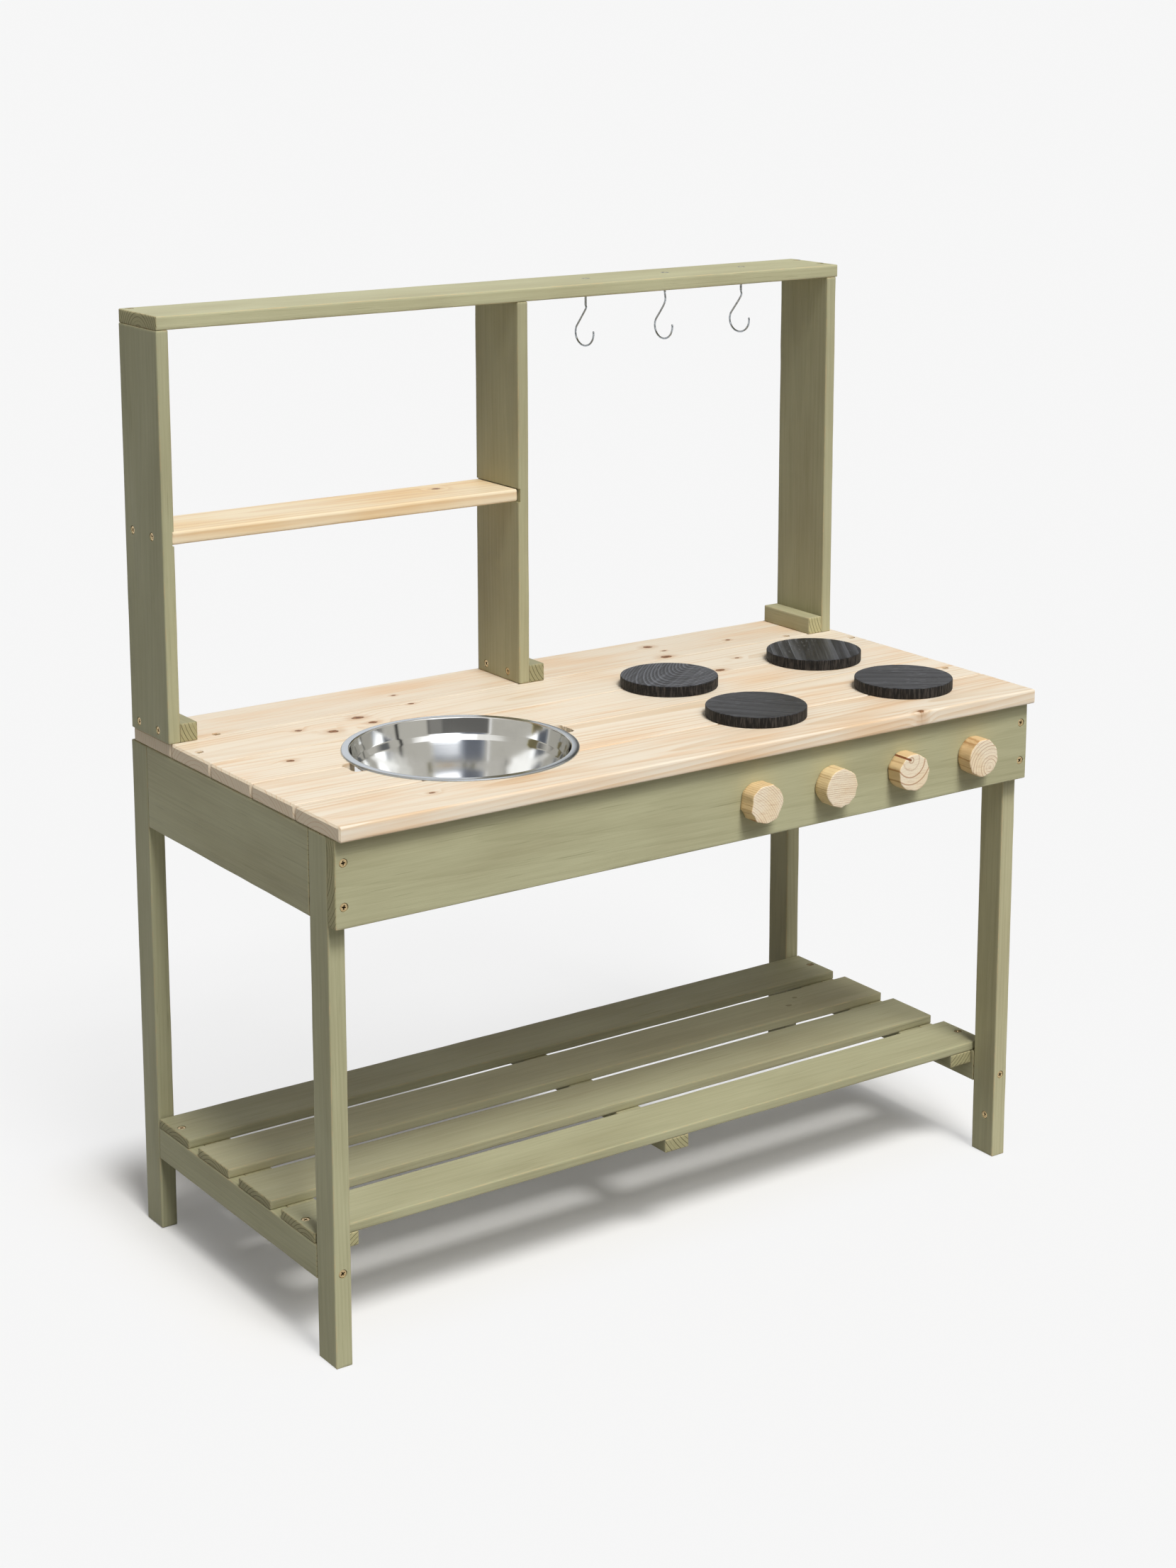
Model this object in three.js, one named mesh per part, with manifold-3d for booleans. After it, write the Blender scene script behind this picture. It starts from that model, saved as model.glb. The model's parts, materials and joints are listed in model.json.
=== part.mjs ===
// Wooden play kitchen for outdoors: a slatted stand, a worktop with a lift-out bowl and four
// hob discs, turning knobs on the apron, and a back made of three posts, a shelf and a rail
// with hooks. Millimetres, +X along the kitchen, +Y to the back, +Z up, floor at zero.

import * as THREE from 'three';
import { mergeVertices } from 'three/addons/utils/BufferGeometryUtils.js';
import Module from 'manifold-3d';

const wasm = await Module();
wasm.setup();

// Stand: four legs under the worktop
const frameLength = 900;
const frameDepth = 422.6;
const legThickness = 18.9;
const legWidth = 35.7;
const legHeight = 552.7;
const timberEase = 1.2;
const seam = 0.3;

// Boards round the top of the legs
const apronThickness = 16.1;
const apronHeight = 90;
const sideRailThickness = 18.9;
const backRailThickness = 18.9;

// Storage shelf near the floor
const lowerRailHeight = 36.4;
const lowerRailTop = 119.7;
const slatCount = 4;
const slatThickness = 10.4;
const slatGap = 22.1;
const slatToBackLeg = 1.9;
const slatToFrontLeg = 3.8;
const bearerWidth = 31.8;
const bearerHeight = 15.2;

// Worktop of separate boards on battens
const boardLayout = ['whole', 'whole', 'parted', 'parted', 'whole'];
const boardCount = boardLayout.length;
const worktopThickness = 16.2;
const boardGap = 0.7;
const boardEase = 1.6;
const overhangLeft = 0.2;
const overhangRight = 1.6;
const overhangFront = 11;
const worktopBackSetback = 6.6;
const battenWidth = 31.8;
const battenHeight = 15.2;
const leftBattenInset = 41.1;
const rightBattenInset = 52.5;
const battenPastNotch = 14.4;

// Bowl that hangs by its rim in a round hole with a finger notch on either side
const bowlFromLeftEnd = 241.3;
const bowlFromFrontEdge = 168.7;
const bowlRimRadius = 124.6;
const bowlInnerRadius = 115.4;
const bowlSheet = 1;
const bowlDepth = 96;
const bowlRimHeight = 2;
const bowlRimFillet = 1.6;
const bowlUpperWall = 18;
const bowlLedgeWidth = 6.5;
const bowlLedgeDrop = 6.5;
const bowlBottomRadius = 68;
const bowlCornerRadius = 38;
const bowlWallLean = Math.PI / 24;
const bowlHoleClearance = 2.4;
const notchWidth = 34;
const notchReach = 12;

// Hob discs
const hobRadius = 55.7;
const hobThickness = 12.6;
const hobChamfer = 0.8;
const hobFromRightEnd = 116.9;
const hobFromFrontEdge = 92.8;
const hobPitchX = 211.5;
const hobPitchY = 159.2;

// Knobs, each turning on its own screw
const knobCount = 4;
const knobRadius = 22.2;
const knobLength = 20.6;
const knobChamfer = 0.8;
const knobFromRightEnd = 84.4;
const knobPitch = 102.3;
const knobDrop = 47.9;
const knobPlay = 0.3;
const knobScrewRadius = 2.2;
const knobScrewBite = 14;
const knobScrewHeadRadius = 4.6;
const knobScrewHeadHeight = 2.6;
const screwPlay = 0.3;

// Countersunk screws that hold the apron to the front legs
const screwRadius = 2;
const screwHeadRadius = 4.3;
const screwHeadDepth = 2.6;
const screwIntoLeg = 22;
const screwInset = 0.2;
const upperScrewDrop = 23.6;
const lowerScrewRise = 22.1;

// Back: posts, rail, shelf and the blocks that hold the posts
const postThickness = 13.7;
const postDepth = 88.1;
const postHeight = 435.4;
const postBackSetback = 2.8;
const leftPostPastEnd = 3.1;
const rightPostInset = 8.3;
const railThickness = 14.7;
const railEase = 2.4;
const railStartInset = 0.4;
const railPastRightPost = 2.3;
const shelfRise = 225;
const shelfThickness = 14;
const shelfFrontSetback = 3.7;
const shelfBackSetback = 2.9;
const grooveDepth = 2.5;
const grooveClearance = 0.3;
const cleatWidth = 20;
const cleatHeight = 20.3;

// Hooks screwed into sleeves let into the rail
const hookCount = 3;
const hookFromRightPost = 93.3;
const hookPitch = 112.5;
const hookFromRailFront = 48;
const hookWireRadius = 1.1;
const hookThreadRadius = 1.5;
const hookThreadIn = 10;
const hookThreadOut = 16.4;
const hookThreadOutShares = [1, 0.5, 0.83];
const hookNeck = 20.5;
const hookBendRadius = 14.65;
const hookOffset = 1.85;
const hookDrop = 63;
const hookTipRise = 3.2;
const hookTurnDegrees = [10, 8, 14];
const sleeveRadius = 2.9;
const sleeveFlangeRadius = 5.2;
const sleeveFlangeHeight = 1.2;
const sleevePlay = 0.2;
const letInClearance = 0.3;

// Facets
const bowlSides = 48;
const bowlArcSteps = 2;
const hobSides = 40;
const knobSides = 24;
const screwSides = 12;
const wireSides = 6;
const wireStepLength = 4;
const easeSteps = 1;
const cutOverrun = 5;

// Faces and levels that several pieces share
const legLeft = -frameLength / 2;
const legRight = frameLength / 2;
const legFront = -frameDepth / 2;
const legBack = frameDepth / 2;
const betweenLegsFront = legFront + legWidth + seam;
const betweenLegsBack = legBack - legWidth - seam;
const worktopBottom = legHeight;
const worktopTop = worktopBottom + worktopThickness;
const worktopLeft = legLeft - overhangLeft;
const worktopRight = legRight + overhangRight;
const worktopFront = legFront - apronThickness - overhangFront;
const worktopBack = legBack - worktopBackSetback;
const boardWidth = (worktopBack - worktopFront - (boardCount - 1) * boardGap) / boardCount;
const apronFront = legFront - apronThickness;
const apronBottom = legHeight - apronHeight;
const screwLength = apronThickness + screwIntoLeg;
const bowlX = worktopLeft + bowlFromLeftEnd;
const bowlY = worktopFront + bowlFromFrontEdge;
const bowlHoleRadius = bowlInnerRadius + bowlSheet + bowlHoleClearance;
const notchEnd = bowlRimRadius + notchReach;
const leftPostX = worktopLeft - leftPostPastEnd;
const leftPostInnerX = leftPostX + postThickness;
const middlePostX = -postThickness;
const rightPostX = worktopRight - rightPostInset - postThickness;
const postBackY = worktopBack - postBackSetback;
const postFrontY = postBackY - postDepth;
const postTop = worktopTop + postHeight;
const shelfTop = worktopTop + shelfRise;
const shelfBottom = shelfTop - shelfThickness;

const sage = { color: 0xa3a27f, roughness: 0.7, metalness: 0 };
const sageShade = { color: 0x8b8c6b, roughness: 0.72, metalness: 0 };
const spruce = { color: 0xeed9b8, roughness: 0.6, metalness: 0 };
const pine = { color: 0xe8c9a0, roughness: 0.6, metalness: 0 };
const charred = { color: 0x23221f, roughness: 0.65, metalness: 0 };
const mirrorSteel = { color: 0xd8d8d6, roughness: 0.08, metalness: 1 };
const zinc = { color: 0x9a9c9c, roughness: 0.3, metalness: 1 };
const yellowZinc = { color: 0xb99a5c, roughness: 0.35, metalness: 1 };

const kitchen = new THREE.Group();

function addPiece(name, geometry, finish, place) {
  const mesh = new THREE.Mesh(geometry, new THREE.MeshStandardMaterial(finish));
  mesh.name = name;
  mesh.position.copy(place);
  kitchen.add(mesh);
  return mesh;
}

// Turns a piece made along +Z to look out of the front of the kitchen
function faceFront(mesh) {
  mesh.rotation.x = Math.PI / 2;
  return mesh;
}

function roundedSection(width, height, ease) {
  const x = width / 2 - ease;
  const y = height / 2 - ease;
  const quarter = Math.PI / 2;
  const corners = [[x, y], [-x, y], [-x, -y], [x, -y]];
  const shape = new THREE.Shape();
  corners.forEach(([cx, cy], i) => shape.absarc(cx, cy, ease, i * quarter, (i + 1) * quarter));
  return shape;
}

// A sawn timber with eased long edges, centred, its grain along the named axis
function timberGeometry(size, grain, ease) {
  const sections = {
    x: [size.z, size.y, size.x],
    y: [size.x, size.z, size.y],
    z: [size.x, size.y, size.z],
  };
  const [width, height, length] = sections[grain];
  const settings = { depth: length, bevelEnabled: false, curveSegments: easeSteps };
  const geometry = new THREE.ExtrudeGeometry(roundedSection(width, height, ease), settings);
  geometry.translate(0, 0, -length / 2);
  if (grain === 'x') geometry.rotateY(Math.PI / 2);
  if (grain === 'y') geometry.rotateX(-Math.PI / 2);
  return geometry;
}

function boxBetween(low, high) {
  const from = new THREE.Vector3(...low);
  const to = new THREE.Vector3(...high);
  const size = to.clone().sub(from);
  const middle = from.add(to).multiplyScalar(1 / 2);
  return { size, middle };
}

function addTimber(name, low, high, grain, finish, ease = timberEase) {
  const { size, middle } = boxBetween(low, high);
  return addPiece(name, timberGeometry(size, grain, ease), finish, middle);
}

// A turned solid about its own Z axis from a profile of [radius, height] pairs
function turned(profile, sides) {
  const points = profile.map(([radius, height]) => new THREE.Vector2(radius, height));
  return new THREE.LatheGeometry(points, sides).rotateX(Math.PI / 2);
}

function plug(radius, low, high) {
  return [[0, low], [radius, low], [radius, high], [0, high]];
}

function solidOf(mesh) {
  mesh.updateMatrix();
  const bare = mesh.geometry.clone().applyMatrix4(mesh.matrix);
  bare.deleteAttribute('normal');
  bare.deleteAttribute('uv');
  const merged = mergeVertices(bare);
  return new wasm.Manifold(new wasm.Mesh({
    numProp: 3,
    vertProperties: merged.attributes.position.array,
    triVerts: new Uint32Array(merged.index.array),
  }));
}

function takeShape(mesh, solid) {
  const result = solid.getMesh();
  const geometry = new THREE.BufferGeometry();
  geometry.setAttribute('position', new THREE.BufferAttribute(result.vertProperties, 3));
  geometry.setIndex(new THREE.BufferAttribute(result.triVerts, 1));
  geometry.applyMatrix4(mesh.matrix.clone().invert());
  geometry.computeVertexNormals();
  mesh.geometry = geometry;
}

function cutAway(mesh, cutters) {
  let solid = solidOf(mesh);
  for (const cutter of cutters) solid = solid.subtract(solidOf(cutter));
  takeShape(mesh, solid);
}

function boxCutter(low, high) {
  const { size, middle } = boxBetween(low, high);
  const cutter = new THREE.Mesh(new THREE.BoxGeometry(size.x, size.y, size.z));
  cutter.position.copy(middle);
  return cutter;
}

function turnedCutter(profile, sides, place) {
  const cutter = new THREE.Mesh(turned(profile, sides));
  cutter.position.copy(place);
  return cutter;
}

// Countersunk apron screws: their places, their shape and the holes that match
function apronScrewPlaces() {
  const legMiddles = [legLeft + legThickness / 2, legRight - legThickness / 2];
  const levels = [legHeight - upperScrewDrop, apronBottom + lowerScrewRise];
  const y = apronFront + screwInset;
  return legMiddles.flatMap((x) => levels.map((z) => new THREE.Vector3(x, y, z)));
}

function apronScrewHoles() {
  const shank = screwRadius + screwPlay;
  const head = screwHeadRadius + screwPlay;
  const shoulder = -screwHeadDepth - screwPlay;
  const bottom = -screwLength - screwPlay;
  const profile = [[0, bottom], [shank, bottom], [shank, shoulder], [head, 0], [head, cutOverrun], [0, cutOverrun]];
  return apronScrewPlaces().map((place) => faceFront(turnedCutter(profile, screwSides, place)));
}

function addApronScrews() {
  const profile = [
    [0, -screwLength],
    [screwRadius, -screwLength],
    [screwRadius, -screwHeadDepth],
    [screwHeadRadius, 0],
    [0, 0],
  ];
  apronScrewPlaces().forEach((place, index) => {
    faceFront(addPiece(`apron_screw_${index + 1}`, turned(profile, screwSides), yellowZinc, place));
  });
}

function addLegs() {
  const holes = apronScrewHoles();
  for (const [side, x] of [['left', legLeft], ['right', legRight - legThickness]]) {
    for (const [end, y] of [['front', legFront], ['back', legBack - legWidth]]) {
      const leg = addTimber(`leg_${end}_${side}`, [x, y, 0],
        [x + legThickness, y + legWidth, legHeight], 'z', sageShade);
      if (end === 'front') cutAway(leg, holes);
    }
  }
}

function addSideRails(name, low, high) {
  for (const [side, x] of [['left', legLeft], ['right', legRight - sideRailThickness]]) {
    addTimber(`${name}_${side}`, [x, betweenLegsFront, low],
      [x + sideRailThickness, betweenLegsBack, high], 'y', sageShade);
  }
}

function addTopFrame() {
  const apron = addTimber('front_apron', [legLeft, apronFront, apronBottom],
    [legRight, legFront, legHeight], 'x', sage);
  const boreProfile = plug(knobScrewRadius + screwPlay, -apronThickness - cutOverrun, cutOverrun);
  const bores = knobPlaces().map((place) => faceFront(turnedCutter(boreProfile, screwSides, place)));
  cutAway(apron, [...bores, ...apronScrewHoles()]);

  addSideRails('upper_side_rail', apronBottom, legHeight);

  addTimber('back_rail', [legLeft + legThickness + seam, legBack - backRailThickness, apronBottom],
    [legRight - legThickness - seam, legBack, legHeight], 'x', sageShade);
}

function addStorageShelf() {
  addSideRails('lower_side_rail', lowerRailTop - lowerRailHeight, lowerRailTop);

  const slatsBack = legBack - legWidth - slatToBackLeg;
  const slatsFront = legFront + legWidth + slatToFrontLeg;
  const slatWidth = (slatsBack - slatsFront - (slatCount - 1) * slatGap) / slatCount;
  for (let i = 0; i < slatCount; i += 1) {
    const back = slatsBack - i * (slatWidth + slatGap);
    addTimber(`slat_${i + 1}`, [legLeft, back - slatWidth, lowerRailTop],
      [legRight, back, lowerRailTop + slatThickness], 'x', sage);
  }

  const besideRail = sideRailThickness + seam + bearerWidth / 2;
  const bearers = [['left', legLeft + besideRail], ['middle', 0], ['right', legRight - besideRail]];
  for (const [side, x] of bearers) {
    addTimber(`slat_bearer_${side}`, [x - bearerWidth / 2, slatsFront, lowerRailTop - bearerHeight],
      [x + bearerWidth / 2, slatsBack, lowerRailTop], 'y', sageShade);
  }
}

function bowlHoleCutters() {
  const low = worktopBottom - cutOverrun;
  const high = worktopTop + cutOverrun;
  const middle = new THREE.Vector3(bowlX, bowlY, 0);
  const hole = turnedCutter(plug(bowlHoleRadius, low, high), bowlSides, middle);
  const notches = boxCutter([bowlX - notchEnd, bowlY - notchWidth / 2, low],
    [bowlX + notchEnd, bowlY + notchWidth / 2, high]);
  return [hole, notches];
}

// Laid from the back; a parted board is a left and a right length with the bowl's hole between
function addWorktopBoards() {
  const cutters = bowlHoleCutters();
  const holeFront = bowlY - bowlHoleRadius;
  const holeBack = bowlY + bowlHoleRadius;
  for (let i = 0; i < boardCount; i += 1) {
    const back = worktopBack - i * (boardWidth + boardGap);
    const front = back - boardWidth;
    const name = `worktop_board_${i + 1}`;
    const lengths = boardLayout[i] === 'parted'
      ? [[`${name}_left`, worktopLeft, bowlX], [`${name}_right`, bowlX, worktopRight]]
      : [[name, worktopLeft, worktopRight]];
    for (const [label, left, right] of lengths) {
      const board = addTimber(label, [left, front, worktopBottom],
        [right, back, worktopTop], 'x', spruce, boardEase);
      if (front < holeBack && back > holeFront) cutAway(board, cutters);
    }
  }
}

function addWorktopBattens() {
  const battens = [
    ['left', legLeft + leftBattenInset],
    ['middle', bowlX + notchEnd + battenPastNotch],
    ['right', legRight - rightBattenInset - battenWidth],
  ];
  for (const [side, x] of battens) {
    addTimber(`worktop_batten_${side}`, [x, legFront + seam, worktopBottom - battenHeight],
      [x + battenWidth, legBack - backRailThickness - seam, worktopBottom], 'y', pine);
  }
}

// The inner face of the bowl from the middle of its floor to the outer edge of its rim
function bowlFacePoints() {
  const cornerTop = bowlCornerRadius - bowlDepth;
  const rimEdge = bowlRimRadius - bowlRimFillet;
  const path = new THREE.Path();
  path.moveTo(0, -bowlDepth);
  path.lineTo(bowlBottomRadius, -bowlDepth);
  path.absarc(bowlBottomRadius, cornerTop, bowlCornerRadius, -Math.PI / 2, -bowlWallLean, false);
  path.lineTo(bowlInnerRadius - bowlLedgeWidth, -bowlUpperWall - bowlLedgeDrop);
  path.lineTo(bowlInnerRadius, -bowlUpperWall);
  path.absarc(bowlInnerRadius + bowlRimFillet, -bowlRimFillet, bowlRimFillet, Math.PI, Math.PI / 2, true);
  path.absarc(rimEdge, -bowlRimFillet, bowlRimFillet, Math.PI / 2, 0, true);
  return path.getPoints(bowlArcSteps);
}

// The sheet's other face, one sheet away from the first along the turned normals
function sheetBack(points) {
  return points.map((point, index) => {
    const before = points[Math.max(index - 1, 0)];
    const after = points[Math.min(index + 1, points.length - 1)];
    const along = after.clone().sub(before).normalize();
    const radius = point.x === 0 ? 0 : point.x + along.y * bowlSheet;
    return new THREE.Vector2(radius, point.y - along.x * bowlSheet);
  });
}

function addBowl() {
  const face = bowlFacePoints();
  const outline = [...sheetBack(face), ...face.reverse()];
  const profile = outline.map((point) => [point.x, point.y]);
  const place = new THREE.Vector3(bowlX, bowlY, worktopTop + bowlRimHeight);
  addPiece('sink_bowl', turned(profile, bowlSides), mirrorSteel, place);
}

function addHobs() {
  const profile = [
    [0, 0],
    [hobRadius - hobChamfer, 0],
    [hobRadius, hobChamfer],
    [hobRadius, hobThickness - hobChamfer],
    [hobRadius - hobChamfer, hobThickness],
    [0, hobThickness],
  ];
  const right = worktopRight - hobFromRightEnd;
  const front = worktopFront + hobFromFrontEdge;
  const columns = [right - hobPitchX, right];
  const rows = [front + hobPitchY, front];
  rows.flatMap((y) => columns.map((x) => [x, y])).forEach(([x, y], index) => {
    const place = new THREE.Vector3(x, y, worktopTop);
    addPiece(`hob_disc_${index + 1}`, turned(profile, hobSides), charred, place);
  });
}

function knobPlaces() {
  const first = legRight - knobFromRightEnd - (knobCount - 1) * knobPitch;
  const y = apronFront - knobPlay;
  const z = legHeight - knobDrop;
  return Array.from({ length: knobCount }, (_, i) => new THREE.Vector3(first + i * knobPitch, y, z));
}

function addKnobs() {
  const pilot = knobScrewRadius + screwPlay;
  const bite = knobScrewBite + screwPlay;
  const knobProfile = [
    [0, bite],
    [pilot, bite],
    [pilot, 0],
    [knobRadius - knobChamfer, 0],
    [knobRadius, knobChamfer],
    [knobRadius, knobLength - knobChamfer],
    [knobRadius - knobChamfer, knobLength],
    [0, knobLength],
  ];
  const headTop = -knobPlay - apronThickness - screwPlay;
  const screwProfile = [
    [0, headTop - knobScrewHeadHeight],
    [knobScrewHeadRadius, headTop - knobScrewHeadHeight],
    [knobScrewHeadRadius, headTop],
    [knobScrewRadius, headTop],
    [knobScrewRadius, knobScrewBite],
    [0, knobScrewBite],
  ];
  knobPlaces().forEach((place, index) => {
    faceFront(addPiece(`knob_${index + 1}`, turned(knobProfile, knobSides), spruce, place));
    faceFront(addPiece(`knob_screw_${index + 1}`, turned(screwProfile, screwSides), zinc, place));
  });
}

function addPosts() {
  const groove = boxCutter(
    [leftPostInnerX - grooveDepth, postFrontY - cutOverrun, shelfBottom - grooveClearance],
    [middlePostX + grooveDepth, postBackY + cutOverrun, shelfTop + grooveClearance]);
  for (const [side, x] of [['left', leftPostX], ['middle', middlePostX], ['right', rightPostX]]) {
    const post = addTimber(`post_${side}`, [x, postFrontY, worktopTop],
      [x + postThickness, postBackY, postTop], 'z', sage);
    if (side !== 'right') cutAway(post, [groove]);
  }

  const cleats = [['left', leftPostInnerX], ['middle', middlePostX + postThickness], ['right', rightPostX - cleatWidth]];
  for (const [side, x] of cleats) {
    addTimber(`cleat_${side}`, [x, postFrontY, worktopTop],
      [x + cleatWidth, postBackY, worktopTop + cleatHeight], 'y', sage);
  }
}

function addShelf() {
  const inGroove = grooveDepth - grooveClearance;
  addTimber('shelf', [leftPostInnerX - inGroove, postFrontY + shelfFrontSetback, shelfBottom],
    [middlePostX + inGroove, postBackY - shelfBackSetback, shelfTop], 'x', pine);
}

function hookPlaces() {
  const first = rightPostX - hookFromRightPost - (hookCount - 1) * hookPitch;
  const y = postFrontY + hookFromRailFront;
  return Array.from({ length: hookCount }, (_, i) => new THREE.Vector3(first + i * hookPitch, y, postTop));
}

function addTopRail() {
  const rail = addTimber('top_rail', [leftPostX + railStartInset, postFrontY, postTop],
    [rightPostX + postThickness + railPastRightPost, postBackY, postTop + railThickness], 'x', sage, railEase);
  const body = sleeveRadius + letInClearance;
  const flange = sleeveFlangeRadius + letInClearance;
  const shoulder = railThickness - sleeveFlangeHeight - letInClearance;
  const above = railThickness + cutOverrun;
  const seat = [[0, -cutOverrun], [body, -cutOverrun], [body, shoulder], [flange, shoulder], [flange, above], [0, above]];
  cutAway(rail, hookPlaces().map((place) => turnedCutter(seat, screwSides, place)));
}

function addHookSleeves() {
  const bore = hookThreadRadius + sleevePlay;
  const shoulder = railThickness - sleeveFlangeHeight;
  const profile = [
    [bore, 0],
    [sleeveRadius, 0],
    [sleeveRadius, shoulder],
    [sleeveFlangeRadius, shoulder],
    [sleeveFlangeRadius, railThickness],
    [bore, railThickness],
    [bore, 0],
  ];
  hookPlaces().forEach((place, index) => {
    addPiece(`hook_sleeve_${index + 1}`, turned(profile, screwSides), zinc, place);
  });
}

// The wire's middle line: straight neck, slanting run to the back, round bend and open tip
function hookRoute() {
  const centreZ = hookBendRadius - hookDrop;
  const rise = -hookNeck - centreZ;
  const reach = Math.hypot(rise, hookOffset);
  const startAngle = Math.atan2(rise, -hookOffset) - Math.acos(hookBendRadius / reach);
  const endAngle = -Math.PI - Math.asin(hookTipRise / hookBendRadius);
  const arcSteps = Math.ceil((startAngle - endAngle) * hookBendRadius / wireStepLength);
  const points = [new THREE.Vector3(0, 0, -hookWireRadius), new THREE.Vector3(0, 0, -hookNeck)];
  for (let i = 0; i <= arcSteps; i += 1) {
    const angle = startAngle + (endAngle - startAngle) * i / arcSteps;
    const y = hookOffset + hookBendRadius * Math.cos(angle);
    const z = centreZ + hookBendRadius * Math.sin(angle);
    points.push(new THREE.Vector3(0, y, z));
  }
  return new THREE.CatmullRomCurve3(points);
}

function addHooks() {
  const route = hookRoute();
  const section = new THREE.Shape();
  section.absarc(0, 0, hookWireRadius, 0, Math.PI * 2);
  const steps = Math.round(route.getLength() / wireStepLength);
  const wire = new THREE.ExtrudeGeometry(section, { extrudePath: route, steps, curveSegments: wireSides / 2 });
  hookPlaces().forEach((place, index) => {
    const hook = addPiece(`hook_${index + 1}`, wire.clone(), zinc, place);
    hook.rotation.z = THREE.MathUtils.degToRad(hookTurnDegrees[index]);
    const out = hookThreadOut * hookThreadOutShares[index];
    const thread = turnedCutter(plug(hookThreadRadius, -out, hookThreadIn), screwSides, place);
    takeShape(hook, solidOf(hook).add(solidOf(thread)));
  });
}

addLegs();
addTopFrame();
addApronScrews();
addStorageShelf();
addWorktopBoards();
addWorktopBattens();
addBowl();
addHobs();
addKnobs();
addPosts();
addShelf();
addTopRail();
addHookSleeves();
addHooks();

// The origin lies on the floor in the middle of the whole kitchen's footprint
const footprint = new THREE.Box3().setFromObject(kitchen).getCenter(new THREE.Vector3());
kitchen.position.set(-footprint.x, -footprint.y, 0);

export default kitchen;
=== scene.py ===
"""A mud kitchen: stained frame, pale worktop, steel bowl, black hobs, round wooden knobs and three hooks."""

import json
import math
from types import SimpleNamespace

import bmesh
import bpy
import numpy as np
from mathutils import Matrix, Vector, noise

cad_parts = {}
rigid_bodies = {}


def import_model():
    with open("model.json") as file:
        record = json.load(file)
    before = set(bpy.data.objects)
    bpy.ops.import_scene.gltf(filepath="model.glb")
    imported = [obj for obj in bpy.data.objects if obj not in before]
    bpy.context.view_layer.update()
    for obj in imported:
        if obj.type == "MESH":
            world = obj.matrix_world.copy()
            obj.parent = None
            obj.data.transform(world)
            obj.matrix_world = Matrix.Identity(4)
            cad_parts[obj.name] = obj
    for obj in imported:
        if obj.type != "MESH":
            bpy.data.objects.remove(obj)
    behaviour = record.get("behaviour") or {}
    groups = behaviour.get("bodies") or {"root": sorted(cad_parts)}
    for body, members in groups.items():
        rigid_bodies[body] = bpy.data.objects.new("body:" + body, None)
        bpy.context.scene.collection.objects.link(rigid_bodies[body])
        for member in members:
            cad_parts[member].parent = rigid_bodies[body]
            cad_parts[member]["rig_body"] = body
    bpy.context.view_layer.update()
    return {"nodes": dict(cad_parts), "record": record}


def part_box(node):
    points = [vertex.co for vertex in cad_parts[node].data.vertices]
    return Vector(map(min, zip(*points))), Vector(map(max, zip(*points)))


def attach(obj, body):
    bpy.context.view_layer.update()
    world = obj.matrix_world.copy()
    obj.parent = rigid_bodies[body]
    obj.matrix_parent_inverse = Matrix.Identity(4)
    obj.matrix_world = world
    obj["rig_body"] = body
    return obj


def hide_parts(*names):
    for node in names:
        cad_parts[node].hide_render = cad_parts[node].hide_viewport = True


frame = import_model()

MM = 0.001
NODES = sorted(frame["nodes"])
SLOT_OF = {row["node"]: row["material_slot"] for row in frame["record"]["subparts"]}
RIGHT, BACK, UP = Vector((1, 0, 0)), Vector((0, 1, 0)), Vector((0, 0, 1))
LEFT, FRONT = Vector((-1, 0, 0)), Vector((0, -1, 0))


# Shader nodes

def linear(code):
    """The scene's own colour values of a colour written as on a screen, such as b8b392."""
    shares = [int(code[i:i + 2], 16) / 255 for i in (0, 2, 4)]
    return tuple(c / 12.92 if c <= 0.04045 else ((c + 0.055) / 1.055) ** 2.4 for c in shares) + (1.0,)


def grey(value):
    return (value, value, value, 1.0)


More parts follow.
